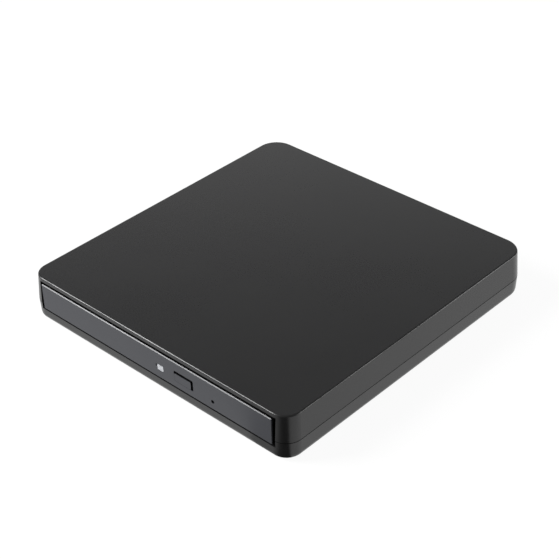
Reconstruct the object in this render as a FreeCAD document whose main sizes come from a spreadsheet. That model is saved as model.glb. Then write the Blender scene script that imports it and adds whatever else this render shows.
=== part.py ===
"""External slim disc drive: a flat housing that holds a tray-loading optical drive.

Frame: +Z up, the drive's front faces -Y, and the origin is on the surface that the rubber feet rest
on, below the middle of the housing. Lengths are in millimetres and angles in degrees.
Rest pose: the tray is shut, the laser sled is at the hub, and the latch hook is released.
"""

import FreeCAD, Part
import os
import re

import Sketcher
from FreeCAD import Placement, Rotation, Vector

doc = FreeCAD.newDocument("ExternalDiscDrive")
sizes = doc.addObject("Spreadsheet::Sheet", "Sizes")
places = doc.addObject("Spreadsheet::Sheet", "Places")
sheet_of = {}
pieces = {}


# Sizes, places and expressions

def formula(text, home=""):
    """Returns the text with each size and place led by the sheet that holds it."""
    def lead(word):
        sheet = sheet_of.get(word[0], home)
        return word[0] if sheet == home else f"{sheet}.{word[0]}"
    return re.sub(r"[a-z]\w*", lead, str(text))


def define(numbers, formulas=None):
    """Writes named numbers to one sheet and named formulas to the other, one below another."""
    for sheet, cells in ((sizes, numbers), (places, formulas or {})):
        for name, amount in cells.items():
            row = 1 + sum(1 for owner in sheet_of.values() if owner == sheet.Name)
            sheet.set(f"A{row}", name)
            sheet.set(f"B{row}", str(amount) if sheet is sizes else "=" + formula(amount, places.Name))
            sheet.setAlias(f"B{row}", name)
            sheet_of[name] = sheet.Name
        doc.recompute()


def value(text):
    """Returns the number that an expression comes to now."""
    return float(places.evalExpression(formula(text)))


def bind(item, **expressions):
    """Binds properties of an item, dots written as double underscores, to expressions."""
    for name, text in expressions.items():
        item.setExpression(name.replace("__", "."), formula(text))
    return item


# Primitives and booleans

TURN_TO = {
    "x": Rotation(Vector(0, 1, 0), 90),
    "y": Rotation(Vector(1, 0, 0), -90),
    "z": Rotation(),
}


def block(name, x, y, z):
    """Returns a box between the low and high expression of each axis."""
    item = doc.addObject("Part::Box", name)
    bind(item, Length=f"({x[1]}) - ({x[0]})", Width=f"({y[1]}) - ({y[0]})", Height=f"({z[1]}) - ({z[0]})")
    return bind(item, Placement__Base__x=x[0], Placement__Base__y=y[0], Placement__Base__z=z[0])


def cylinder(name, radius, x, y, z, tip_radius=None):
    """Returns a cylinder, or a cone with a tip radius, along the axis given as a low and high pair."""
    axis, (low, high) = next((key, pair) for key, pair in zip("xyz", (x, y, z)) if isinstance(pair, tuple))
    start = {key: low if key == axis else place for key, place in zip("xyz", (x, y, z))}
    item = doc.addObject("Part::Cylinder" if tip_radius is None else "Part::Cone", name)
    item.Placement = Placement(Vector(), TURN_TO[axis])
    bind(item, Height=f"({high}) - ({low})")
    if tip_radius is None:
        bind(item, Radius=radius)
    else:
        bind(item, Radius1=radius, Radius2=tip_radius)
    return bind(item, **{f"Placement__Base__{key}": place for key, place in start.items()})


def fuse(name, *items):
    """Returns one solid made of several that meet."""
    item = doc.addObject("Part::MultiFuse", name)
    item.Shapes = list(items)
    item.Refine = True
    return item


def cut(name, base, *tools):
    """Returns the base without its tools."""
    item = doc.addObject("Part::Cut", name)
    item.Base = base
    item.Tool = tools[0] if len(tools) == 1 else fuse(f"{name}_tools", *tools)
    item.Refine = True
    return item


def ring(name, outer, inner, x, y, z):
    """Returns a hollow cylinder."""
    return cut(name, cylinder(f"{name}_outer", outer, x, y, z), cylinder(f"{name}_bore", inner, x, y, z))


def group(name, items, x="0", y="0", turn="0"):
    """Returns loose solids as one item, moved to a place and turned about the upright axis."""
    item = doc.addObject("Part::Compound", name)
    item.Links = list(items)
    return bind(item, Placement__Base__x=x, Placement__Base__y=y, Placement__Rotation__Angle=turn)


# Sketched bodies

def polygon(*corners):
    """Returns a drawing of straight edges through corners, each held by its two sizes."""
    def draw(sketch):
        spots = [Vector(value(across), value(up), 0) for across, up in corners]
        edges = [
            Part.LineSegment(spot, spots[(number + 1) % len(spots)])
            for number, spot in enumerate(spots)
        ]
        lines = sketch.addGeometry(edges, False)
        for number, line in enumerate(lines):
            following = lines[(number + 1) % len(lines)]
            sketch.addConstraint(Sketcher.Constraint("Coincident", line, 2, following, 1))
            for kind, place in zip(("DistanceX", "DistanceY"), corners[number]):
                held = sketch.addConstraint(Sketcher.Constraint(kind, -1, 1, line, 1, value(place)))
                sketch.setExpression(f"Constraints[{held}]", formula(place))
    return draw


def rectangle(across, up):
    """Returns a drawing of a rectangle between two low and high pairs."""
    return polygon((across[0], up[0]), (across[1], up[0]), (across[1], up[1]), (across[0], up[1]))


def upright(edge):
    """Says whether an edge rises, straight or leaning a little."""
    low, high = edge.Vertexes[0].Point, edge.Vertexes[-1].Point
    return len(edge.Vertexes) == 2 and abs(high.z - low.z) > max(abs(high.x - low.x), abs(high.y - low.y))


def level_at(height):
    """Returns a test for edges that lie flat at a height."""
    flat = value(height)
    near = 1e-4
    return lambda edge: abs(edge.BoundBox.ZMin - flat) < near and abs(edge.BoundBox.ZMax - flat) < near


class Body:
    """A body made of pads, pockets and fillets on its own base planes."""

    ROLES = {"x": ("YZ_Plane", 1), "y": ("XZ_Plane", -1), "z": ("XY_Plane", 1)}

    def __init__(self, name):
        self.item = doc.addObject("PartDesign::Body", name)

    def feature(self, kind, **expressions):
        """Adds a feature, which becomes the body's tip."""
        name = f"{self.item.Name}_{kind}_{len(self.item.Group)}"
        added = self.item.newObject(f"PartDesign::{kind}", name)
        bind(added, **expressions)
        self.item.Tip = added
        return added

    def sketch(self, axis, at, drawing):
        """Adds a sketch square to an axis, at a place along it."""
        role, sense = self.ROLES[axis]
        added = self.item.newObject(
            "Sketcher::SketchObject", f"{self.item.Name}_sketch_{len(self.item.Group)}",
        )
        plane = next(origin for origin in self.item.Origin.OriginFeatures if origin.Role == role)
        added.AttachmentSupport = [(plane, "")]
        added.MapMode = "FlatFace"
        bind(added, AttachmentOffset__Base__z=f"{sense} * ({at})")
        drawing(added)
        return added

    def pad(self, axis, drawing, low, high, draft=None, downwards=False):
        """Adds material between two places along an axis, narrowing by a draft angle."""
        forwards = self.ROLES[axis][1] > 0
        start = low if forwards != downwards else high
        profile = self.sketch(axis, start, drawing)
        added = self.feature("Pad", Length=f"({high}) - ({low})")
        added.Profile = profile
        added.Reversed = downwards
        if draft is not None:
            bind(added, TaperAngle=f"-({draft})")
        return self

    def pocket(self, axis, drawing, low, high):
        """Takes material away between two places along an axis."""
        profile = self.sketch(axis, high if self.ROLES[axis][1] > 0 else low, drawing)
        added = self.feature("Pocket", Length=f"({high}) - ({low})")
        added.Profile = profile
        return self

    def turn(self, *profile):
        """Adds a solid of revolution about the body's upright axis, from radius and height pairs."""
        drawn = self.sketch("y", "0", polygon(*profile))
        added = self.feature("Revolution")
        added.Profile = drawn
        added.ReferenceAxis = (drawn, ["V_Axis"])
        added.Angle = 360
        return self

    def fillet(self, radius, pick):
        """Rounds the edges that a test picks."""
        doc.recompute()
        base = self.item.Tip
        named = [f"Edge{number}" for number, edge in enumerate(base.Shape.Edges, 1) if pick(edge)]
        added = self.feature("Fillet", Radius=radius)
        added.Base = (base, named)
        return self

    def chamfer(self, size, pick):
        """Bevels the edges that a test picks."""
        doc.recompute()
        base = self.item.Tip
        named = [f"Edge{number}" for number, edge in enumerate(base.Shape.Edges, 1) if pick(edge)]
        added = self.feature("Chamfer", Size=size)
        added.Base = (base, named)
        return self

    def at(self, x="0", y="0", z="0"):
        """Moves the body and returns it as an item."""
        return bind(self.item, Placement__Base__x=x, Placement__Base__y=y, Placement__Base__z=z)


def turned(name, *profile, x="0", y="0", z="0"):
    """Returns a body of revolution standing at a place."""
    return Body(name).turn(*profile).at(x, y, z)


def screw(name, x, y, seat, upwards, head, head_height, shank, length):
    """Returns a screw whose head bears on a seat, with its head above the seat or below it."""
    sense = 1 if upwards else -1
    head_end, shank_end = f"{seat} + {sense} * ({head_height})", f"{seat} - {sense} * ({length})"
    head_span = (seat, head_end) if upwards else (head_end, seat)
    shank_span = (shank_end, seat) if upwards else (seat, shank_end)
    slot_span = (f"{head_end} - cross_depth", f"{head_end} + cross_depth")
    solid = fuse(f"{name}_solid", cylinder(f"{name}_head", head, x, y, head_span),
                 cylinder(f"{name}_shank", shank, x, y, shank_span))
    reach, thin = f"{head} * cross_share", "cross_width / 2"
    arms = [
        block(
            f"{name}_arm", (f"{x} - {wide}", f"{x} + {wide}"), (f"{y} - {deep}", f"{y} + {deep}"),
            slot_span,
        )
        for wide, deep in ((reach, thin), (thin, reach))
    ]
    return cut(name, solid, *arms)


def keep(item, label, **place):
    """Names a finished piece, and moves and turns it where it was drawn about its own centre."""
    whole = group(f"{label}_placed", [item], **place) if place else item
    whole.Label = label
    pieces[label] = whole


# Drive: built round the largest disc that its tray takes

DRIVE_SIZES = {
    "disc_radius": 60.0,  # largest disc
    "drive_side": 4.0,  # disc to the bezel's end
    "drive_ahead": 6.0,  # disc to the bezel's face
    "drive_behind": 4.2,  # disc to the back of the steel case
    "drive_height": 12.05,  # drive and bezel, top to bottom
    "bezel_thick": 2.0,  # bezel front to back
    "bezel_proud": 0.1,  # bezel ahead of the housing
    "gap_side": 1.3,  # opening beside the bezel
    "gap_high": 0.8,  # opening above the bezel
    "gap_low": 0.7,  # opening below the bezel
    "drive_setback": 2.0,  # bezel's back to the steel case
    "pan_sheet": 0.6,  # steel pan
    "lid_sheet": 0.5,  # steel lid
    "lid_skirt": 2.0,  # lid's edge folded down
    "over": 1.0,  # cuts run on past what they open
}
define(DRIVE_SIZES)

# Housing: two shells that meet at a parting line, with the drive's opening in front

HOUSING_SIZES = {
    "cheek_width": 7.6,  # housing beside the bezel, at the parting line
    "rear_bay": 18.1,  # housing behind the drive, at the parting line
    "case_height": 20.6,  # housing without its feet
    "foot_proud": 0.8,  # feet below the underside
    "lower_height": 8.6,  # underside to parting line
    "upper_draft": 2.9,  # lean of the upper shell's sides
    "lower_draft": 2.0,  # lean of the lower shell's sides
    "front_radius": 7.2,  # front corners in plan
    "rear_radius": 9.3,  # rear corners in plan
    "top_edge_radius": 0.7,  # rounding of the top edge
    "bottom_edge_radius": 2.6,  # rounding of the underside's edge
    "seam_height": 0.3,  # groove along the parting line
    "seam_depth": 0.5,  # groove along the parting line
    "shell_wall": 1.8,  # side walls
    "top_wall": 1.7,  # top of the upper shell
    "floor_wall": 1.8,  # floor of the lower shell
    "lip_height": 1.5,  # locating lip above the parting line
    "lip_wall": 1.0,  # locating lip's thickness
    "lip_gap": 0.2,  # lip to the upper shell
    "drive_seat": 4.25,  # floor to the drive
    "rib_wall": 1.2,  # ribs that carry the drive
    "rib_spread": 80.0,  # between the two long ribs
    "cross_rib_front": 40.0,  # front cross rib, ahead of the middle
    "cross_rib_back": 24.0,  # rear cross rib, behind the middle
    "rib_end_gap": 9.0,  # long ribs to the shell's ends
    "label_width": 70.0,  # recess in the underside, across
    "label_depth": 44.0,  # recess in the underside, front to back
    "label_sink": 0.3,  # recess in the underside, deep
}
HOUSING_PLACES = {
    "bezel_half": "disc_radius + drive_side",  # half the bezel
    "case_half_w": "bezel_half + cheek_width",  # parting line to the middle, across
    "case_length": "drive_ahead + disc_radius * 2 + drive_behind + rear_bay - bezel_proud",  # front to back
    "case_half_d": "case_length / 2",  # parting line to the middle, front to back
    "underside_z": "foot_proud",  # underside
    "floor_z": "underside_z + floor_wall",  # top of the floor
    "parting_z": "underside_z + lower_height",  # parting line
    "seam_z": "parting_z - seam_height",  # lower edge of the groove along the parting line
    "case_top_z": "underside_z + case_height",  # top
    "ceiling_z": "case_top_z - top_wall",  # inside of the top
    "drive_z": "floor_z + drive_seat",  # underside of the drive
    "inner_half_w": "case_half_w - shell_wall",  # inside of the side wall
    "inner_half_d": "case_half_d - shell_wall",  # inside of the end wall
}
define(HOUSING_SIZES, HOUSING_PLACES)

DRIVE_PLACES = {
    "bezel_face_y": "-(case_half_d + bezel_proud)",  # bezel's face
    "bezel_back_y": "bezel_face_y + bezel_thick",  # bezel's back
    "drive_top_z": "drive_z + drive_height",  # top of the drive
    "opening_half": "bezel_half + gap_side",  # half the opening
    "opening_low_z": "drive_z - gap_low",  # opening's lower edge
    "opening_high_z": "drive_top_z + gap_high",  # opening's upper edge
    "spindle_y": "bezel_face_y + drive_ahead + disc_radius",  # spindle
    "pan_front_y": "bezel_back_y + drive_setback",  # front of the steel case
    "pan_back_y": "spindle_y + disc_radius + drive_behind",  # back of the steel case
    "pan_half": "bezel_half - lid_sheet",  # outside of the pan
    "pan_inner": "pan_half - pan_sheet",  # inside of the pan
    "pan_floor_z": "drive_z + pan_sheet",  # top of the pan's floor
    "lid_under_z": "drive_top_z - lid_sheet",  # underside of the lid
}
define({}, DRIVE_PLACES)

# Fasteners, and the posts that they go into

FASTENER_SIZES = {
    "cross_width": 0.5,  # cross recess, across an arm
    "cross_depth": 0.5,  # cross recess, deep
    "cross_share": 0.6,  # cross recess's reach, as a share of the head's radius
    "case_screw_head": 1.7,  # case screw head, radius
    "case_screw_head_height": 1.2,  # case screw head, high
    "case_screw_shank": 0.9,  # case screw shank, radius
    "case_screw_length": 9.0,  # case screw shank, long
    "case_screw_side": 5.0,  # case screws inside the housing's sides
    "case_screw_front": 14.1,  # front case screws behind the housing's front
    "case_screw_back": 12.1,  # rear case screws ahead of the housing's back
    "case_screw_pass": 0.1,  # case screw to the lower shell
    "case_post": 2.3,  # case screw post, radius
    "screw_fit": 0.05,  # screw to its hole
    "head_gap": 0.2,  # screw head to its counterbore
    "head_sink": 1.0,  # case screw head below the underside
    "post_rib": 1.2,  # rib from post to wall
}
FASTENER_PLACES = {
    "case_seat_z": "underside_z + head_sink + case_screw_head_height",  # case screw heads' seat
    "case_screw_x": "case_half_w - case_screw_side",  # case screws, either side
    "screw_front_y": "-case_half_d + case_screw_front",  # front case screws
    "screw_back_y": "case_half_d - case_screw_back",  # rear case screws
}
define(FASTENER_SIZES, FASTENER_PLACES)
CASE_SCREWS = [
    (f"{side} * case_screw_x", place) for side in (-1, 1) for place in ("screw_front_y", "screw_back_y")
]


def plan_form(name, inset, near_z, far_z, draft=None):
    """Returns a body with the housing's plan, drawn in by an inset, from one height up or down to another."""
    half_w, half_d = f"case_half_w - ({inset})", f"case_half_d - ({inset})"
    rises = value(far_z) > value(near_z)
    low, high = (near_z, far_z) if rises else (far_z, near_z)
    plan = rectangle((f"-({half_w})", half_w), (f"-({half_d})", half_d))
    form = Body(name).pad("z", plan, low, high, draft=draft, downwards=not rises)
    form.fillet(f"front_radius - ({inset})", lambda edge: upright(edge) and edge.CenterOfMass.y < 0)
    return form.fillet(f"rear_radius - ({inset})", lambda edge: upright(edge) and edge.CenterOfMass.y > 0)


def front_opening(name):
    """Returns the drive's opening through the front wall."""
    return block(
        name, ("-opening_half", "opening_half"),
        ("bezel_face_y - shell_wall", "-inner_half_d + lip_wall + lip_gap"),
        ("opening_low_z", "opening_high_z"),
    )


INLET_SIZES = {
    "inlet_x": -18.0,  # cord inlet, to the right seen from behind
    "inlet_width": 7.7,  # inlet shell across
    "inlet_height": 3.9,  # inlet shell high
    "inlet_length": 9.2,  # inlet shell long
    "inlet_setback": 0.4,  # inlet's mouth behind the housing's face
    "inlet_sheet": 0.35,  # inlet shell
    "inlet_margin": 0.6,  # cut-out round the inlet
    "inlet_slope": 0.6,  # inlet shell's slanted corners
    "inlet_tongue_width": 3.85,  # inlet's tongue across
    "inlet_tongue_thick": 0.6,  # inlet's tongue
    "inlet_tongue_setback": 1.2,  # inlet's tongue behind its mouth
    "bridge_thick": 1.2,  # bridge board
    "bridge_lift": 5.4,  # floor to the bridge board
    "bridge_width": 60.0,  # bridge board across
    "bridge_back_gap": 1.5,  # bridge board to the rear wall
    "bridge_front_gap": 2.0,  # steel case to the bridge board
}
INLET_PLACES = {
    "bridge_z": "floor_z + bridge_lift",  # underside of the bridge board
    "bridge_top_z": "bridge_z + bridge_thick",  # top of the bridge board
    "bridge_back_y": "inner_half_d - bridge_back_gap",  # rear edge of the bridge board
    "bridge_front_y": "pan_back_y + bridge_front_gap",  # front edge of the bridge board
    "inlet_mouth_y": "case_half_d - inlet_setback",  # inlet's mouth
    "inlet_mid_z": "bridge_top_z + inlet_height / 2",  # inlet's middle
}
define(INLET_SIZES, INLET_PLACES)


def inlet_opening(name):
    """Returns the cord inlet's opening through the rear wall."""
    half, tall = "inlet_width / 2 + inlet_margin", "inlet_height / 2 + inlet_margin"
    return block(
        name, (f"inlet_x - ({half})", f"inlet_x + ({half})"),
        ("inner_half_d - lip_gap - lip_wall - over", "case_half_d + over"),
        (f"inlet_mid_z - ({tall})", f"inlet_mid_z + ({tall})"),
    )


def top_cover():
    """Upper shell with four screw posts under its ceiling."""
    outside = plan_form("upper_outside", "0", "parting_z", "case_top_z", "upper_draft")
    outside.fillet("top_edge_radius", level_at("case_top_z"))
    inside = plan_form("upper_inside", "shell_wall", "parting_z", "ceiling_z", "upper_draft")
    inside.fillet("top_edge_radius", level_at("ceiling_z"))
    posts = []
    for number, (x, y) in enumerate(CASE_SCREWS):
        side = "-1" if x.startswith("-") else "1"
        reach = sorted((f"{x}", f"{side} * (inner_half_w + lip_gap)"), key=value)
        posts.append(
            cylinder(f"upper_post_{number}", "case_post", x, y, ("parting_z", "ceiling_z + lip_gap"))
        )
        posts.append(block(f"upper_rib_{number}", reach, (f"{y} - post_rib / 2", f"{y} + post_rib / 2"),
                           ("parting_z + lip_height", "ceiling_z + lip_gap")))
    holes = [
        cylinder(f"upper_hole_{number}", "case_screw_shank + screw_fit", x, y,
                 ("parting_z - lip_height", "case_seat_z + case_screw_length + lip_height"))
        for number, (x, y) in enumerate(CASE_SCREWS)
    ]
    shell = cut("upper_shell", outside.item, inside.item)
    solid = fuse("upper_solid", shell, *posts)
    keep(
        cut("top_cover_solid", solid, front_opening("upper_front"), inlet_opening("upper_rear"), *holes),
        "top_cover",
    )


SEAT_SIZES = {
    "foot_radius": 5.0,  # rubber foot
    "foot_sink": 0.6,  # foot's recess in the underside
    "foot_bevel": 0.3,  # bevel round a foot
    "foot_gap": 0.1,  # foot to its recess
    "foot_side": 17.6,  # feet inside the housing's sides
    "foot_end": 16.1,  # feet inside the housing's ends
    "ear_wall": 1.4,  # ears beside the drive
    "ear_width": 8.0,  # ears along the drive
    "ear_top": 5.2,  # ears above the drive's underside
    "ear_front": 35.2,  # front ears behind the steel case's front
    "ear_back": 21.0,  # rear ears ahead of the steel case's back
    "mount_head": 1.8,  # mounting screw head, radius
    "mount_head_height": 0.8,  # mounting screw head, high
    "mount_shank": 0.9,  # mounting screw shank, radius
    "mount_rise": 3.2,  # mounting screws above the drive's underside
    "board_post": 2.4,  # bridge board post, radius
    "board_post_x": 26.0,  # bridge board posts, either side
    "board_post_y": 4.6,  # bridge board posts behind its front edge
    "board_screw_head": 1.7,  # board screw head, radius
    "board_screw_head_height": 0.9,  # board screw head, high
    "board_screw_shank": 0.8,  # board screw shank, radius
    "board_screw_length": 5.0,  # board screw shank, long
    "board_hole_gap": 0.2,  # board screw to the board
}
SEAT_PLACES = {
    "foot_x": "case_half_w - foot_side",  # feet, either side
    "foot_y": "case_half_d - foot_end",  # feet, ahead and behind
    "ear_front_y": "pan_front_y + ear_front",  # front ears
    "ear_back_y": "pan_back_y - ear_back",  # rear ears
    "mount_z": "drive_z + mount_rise",  # mounting screws
    "post_y": "bridge_front_y + board_post_y",  # bridge board posts
}
define(SEAT_SIZES, SEAT_PLACES)
EARS = [(side, place) for side in (-1, 1) for place in ("ear_front_y", "ear_back_y")]
FEET = [(f"{side} * foot_x", f"{end} * foot_y") for side in (-1, 1) for end in (-1, 1)]


def across(side, low, high):
    """Returns a low and high pair on the right side, or the same pair mirrored to the left."""
    return (low, high) if side > 0 else (f"-({high})", f"-({low})")


def bottom_cover():
    """Lower shell with its lip, screw posts, ribs that carry the drive, ears and board posts."""
    outside = plan_form("lower_outside", "0", "seam_z", "underside_z", "lower_draft")
    outside.fillet("bottom_edge_radius", level_at("underside_z"))
    seam = plan_form("seam_band", "seam_depth", "parting_z", "seam_z - seam_height", "lower_draft")
    lip = plan_form(
        "lip", "shell_wall + lip_gap", "parting_z - lip_height", "parting_z + lip_height", "upper_draft",
    )
    hollow = plan_form("lower_hollow", "shell_wall", "parting_z - lip_height", "floor_z", "lower_draft")
    hollow.fillet("bottom_edge_radius - shell_wall / 2", level_at("floor_z"))
    mouth = plan_form(
        "lip_hollow", "shell_wall + lip_wall", "parting_z - lip_height - over",
        "parting_z + lip_height + over",
    )
    outer = fuse("lower_outer", outside.item, seam.item, lip.item)
    grown = [cut("lower_shell", outer, hollow.item, mouth.item)]
    for number, (x, y) in enumerate(CASE_SCREWS):
        grown.append(cylinder(f"lower_post_{number}", "case_post", x, y, ("floor_z - lip_gap", "parting_z")))
    for side in (-1, 1):
        grown.append(
            block(
                f"long_rib_{side + 1}", across(side, "rib_spread / 2 - rib_wall", "rib_spread / 2"),
                ("-inner_half_d + rib_end_gap", "pan_back_y - rib_wall"), ("floor_z - lip_gap", "drive_z"),
            )
        )
    for name, y in (("front", "-cross_rib_front"), ("back", "cross_rib_back")):
        grown.append(block(f"cross_rib_{name}", ("-rib_spread / 2", "rib_spread / 2"), (y, f"{y} + rib_wall"),
                           ("floor_z - lip_gap", "drive_z")))
    for number, (side, y) in enumerate(EARS):
        grown.append(
            block(
                f"ear_{number}", across(side, "pan_half", "pan_half + ear_wall"),
                (f"{y} - ear_width / 2", f"{y} + ear_width / 2"),
                ("floor_z - lip_gap", "drive_z + ear_top"),
            )
        )
    for side in (-1, 1):
        grown.append(cylinder(f"board_post_{side + 1}", "board_post", f"{side} * board_post_x", "post_y",
                              ("floor_z - lip_gap", "bridge_z")))
    taken = [front_opening("lower_front"), inlet_opening("lower_rear")]
    for number, (x, y) in enumerate(CASE_SCREWS):
        taken.append(
            cylinder(
                f"lower_hole_{number}", "case_screw_shank + case_screw_pass", x, y,
                ("underside_z", "parting_z + lip_height"),
            )
        )
        taken.append(
            cylinder(
                f"counterbore_{number}", "case_screw_head + head_gap", x, y,
                ("underside_z - head_gap", "case_seat_z"),
            )
        )
        side = -1 if x.startswith("-") else 1
        taken.append(
            block(
                f"lip_notch_{number}", across(side, "case_screw_x - case_post - lip_gap", "inner_half_w"),
                (f"{y} - case_post - lip_gap", f"{y} + case_post + lip_gap"),
                ("parting_z", "parting_z + lip_height + over"),
            )
        )
    for number, (side, y) in enumerate(EARS):
        taken.append(cylinder(f"ear_hole_{number}", "mount_shank + screw_fit",
                              across(side, "pan_half - over", "pan_half + ear_wall + over"), y, "mount_z"))
    for side in (-1, 1):
        taken.append(
            cylinder(
                f"board_hole_{side + 1}", "board_screw_shank + screw_fit", f"{side} * board_post_x",
                "post_y", ("bridge_z - board_screw_length", "bridge_z + rib_wall"),
            )
        )
    for number, (x, y) in enumerate(FEET):
        taken.append(
            cylinder(
                f"foot_recess_{number}", "foot_radius + foot_gap", x, y,
                ("underside_z - foot_sink", "underside_z + foot_sink"),
            )
        )
    taken.append(
        block(
            "label_recess", ("-label_width / 2", "label_width / 2"),
            ("-label_depth / 2", "label_depth / 2"),
            ("underside_z - label_sink", "underside_z + label_sink"),
        )
    )
    keep(cut("bottom_cover_solid", fuse("lower_solid", *grown), *taken), "bottom_cover")


def case_hardware():
    """Feet, case screws and the screws that hold the drive between its ears."""
    feet = [
        turned(f"foot_{number}", ("0", "0"), ("foot_radius - foot_bevel", "0"), ("foot_radius", "foot_bevel"),
               ("foot_radius", "underside_z + foot_sink"), ("0", "underside_z + foot_sink"), x=x, y=y)
        for number, (x, y) in enumerate(FEET)
    ]
    keep(group("feet", feet), "rubber_feet")
    screws = [
        screw(f"case_screw_{number}", x, y, "case_seat_z", False, "case_screw_head", "case_screw_head_height",
              "case_screw_shank", "case_screw_length")
        for number, (x, y) in enumerate(CASE_SCREWS)
    ]
    keep(group("case_screw_set", screws), "case_screws")
    mounts = []
    for number, (side, y) in enumerate(EARS):
        head = cylinder(
            f"mount_head_{number}", "mount_head",
            across(side, "pan_half + ear_wall", "pan_half + ear_wall + mount_head_height"), y, "mount_z",
        )
        shank = cylinder(
            f"mount_shank_{number}", "mount_shank",
            across(side, "pan_inner + screw_fit", "pan_half + ear_wall"), y, "mount_z",
        )
        slot = block(
            f"mount_slot_{number}",
            across(
                side, "pan_half + ear_wall + mount_head_height - cross_depth",
                "pan_half + ear_wall + mount_head_height + cross_depth",
            ),
            (f"{y} - mount_head * cross_share", f"{y} + mount_head * cross_share"),
            ("mount_z - cross_width / 2", "mount_z + cross_width / 2"),
        )
        mounts.append(cut(f"mount_screw_{number}", fuse(f"mount_solid_{number}", head, shank), slot))
    keep(group("mount_screw_set", mounts), "mount_screws")


# Drive case: pan, lid, guides, boards and what is fixed to them

SLIDE_SIZES = {
    "slide_gap": 0.2,  # between nested slides
    "guide_sheet": 0.5,  # fixed guide
    "rail_sheet": 0.45,  # telescopic rail
    "tongue_height": 3.0,  # tray's tongue
    "guide_reach": 2.3,  # guide's flanges
    "rail_reach": 1.9,  # rail's flanges
    "skirt_gap": 0.25,  # rail's flanges to the tray's skirt
    "skirt_wall": 1.2,  # tray's skirt
    "slide_back_gap": 2.5,  # rails and tongues to the steel case's back
    "slide_setback": 10.2,  # bezel's face to the rails
    "guide_extra": 1.0,  # guide beyond the rail at each end
    "tray_lift": 0.25,  # guide to the tray's plate
}
SLIDE_PLACES = {
    "rail_half": "tongue_height / 2 + slide_gap",  # rail's inside, half its height
    "rail_outer_half": "rail_half + rail_sheet",  # rail's outside, half its height
    "guide_half": "rail_outer_half + slide_gap",  # guide's inside, half its height
    "guide_outer_half": "guide_half + guide_sheet",  # guide's outside, half its height
    "slide_mid_z": "pan_floor_z + slide_gap + guide_outer_half",  # slides' middle
    "guide_web": "pan_inner - guide_sheet",  # inside of the guide's web
    "rail_outer": "guide_web - slide_gap",  # outside of the rail
    "rail_web": "rail_outer - rail_sheet",  # inside of the rail's web
    "tongue_outer": "rail_web - slide_gap",  # outside of the tongue
    "skirt_outer": "rail_outer - rail_reach - skirt_gap",  # outside of the skirt
    "skirt_inner": "skirt_outer - skirt_wall",  # inside of the skirt
    "slide_front_y": "bezel_face_y + slide_setback",  # front of the rails
    "slide_back_y": "pan_back_y - slide_back_gap",  # back of the rails
    "tray_plate_z": "slide_mid_z + guide_outer_half + tray_lift",  # underside of the tray's plate
}
define(SLIDE_SIZES, SLIDE_PLACES)

TRAY_SIZES = {
    "plate_height": 2.7,  # tray's plate
    "recess_depth": 2.1,  # disc recess in the plate
    "slab_drop": 0.2,  # tray's floor below its plate
    "tray_side_gap": 0.6,  # tray's plate to the pan
    "tray_back_gap": 1.5,  # tray to the pan's back
    "recess_gap": 0.3,  # large disc to its recess
    "small_recess_radius": 40.3,  # recess for a small disc
    "small_recess_depth": 0.3,  # small recess below the large one
    "front_bar_depth": 2.6,  # tray's front bar
    "front_bar_lift": 0.35,  # front bar above the pan's floor
    "front_bar_inset": 1.0,  # front bar short of the plate's sides
}
TRAY_PLACES = {
    "tray_top_z": "tray_plate_z + plate_height",  # top of the tray
    "recess_z": "tray_top_z - recess_depth",  # floor of the disc recess
    "recess_radius": "disc_radius + recess_gap",  # recess for a large disc
    "slab_z": "tray_plate_z - slab_drop",  # underside of the tray's floor
    "tray_half": "pan_inner - tray_side_gap",  # half the tray's plate
    "tray_back_y": "pan_back_y - pan_sheet - tray_back_gap",  # back of the tray
    "bar_back_y": "bezel_back_y + front_bar_depth",  # back of the front bar
    "bar_low_z": "pan_floor_z + front_bar_lift",  # underside of the front bar
}
define(TRAY_SIZES, TRAY_PLACES)

BOARD_SIZES = {
    "board_thick": 1.0,  # main board
    "stud_height": 0.4,  # pan's studs under the main board
    "stud_radius": 2.0,  # pan's studs
    "stud_inset": 4.0,  # studs from the board's edges
    "main_left": 34.0,  # main board left of the middle
    "main_side": 5.9,  # main board to the pan's right side
    "main_depth": 26.0,  # main board front to back
    "main_back_gap": 2.4,  # main board to the pan's back
    "socket_half": 17.0,  # data socket, half its width
    "socket_height": 3.5,  # data socket
    "socket_depth": 7.0,  # data socket front to back
    "socket_proud": 0.6,  # data socket behind the steel case
    "socket_wall": 1.2,  # data socket's wall
    "socket_margin": 0.6,  # notch round the data socket
    "plug_gap": 0.3,  # data plug in its socket
    "plug_reach": 3.0,  # data plug's tongue
    "plug_depth": 3.4,  # data plug's body
    "lug_width": 5.0,  # pan's lugs under the lid
    "lug_length": 6.0,  # pan's lugs along the drive
    "lug_front": 40.2,  # front lugs behind the pan's front
    "lug_back": 8.0,  # rear lugs ahead of the pan's back
    "lid_screw_head": 1.5,  # lid screw head, radius
    "lid_screw_head_height": 0.5,  # lid screw head, high
    "lid_screw_shank": 0.7,  # lid screw shank, radius
    "foam_width": 8.0,  # foam strip across
    "foam_end_gap": 15.0,  # foam strip's end to the disc's edge
    "foam_x": 40.0,  # foam strips, either side
    "foam_crush": 0.02,  # foam strip short of the ceiling
}
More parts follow.
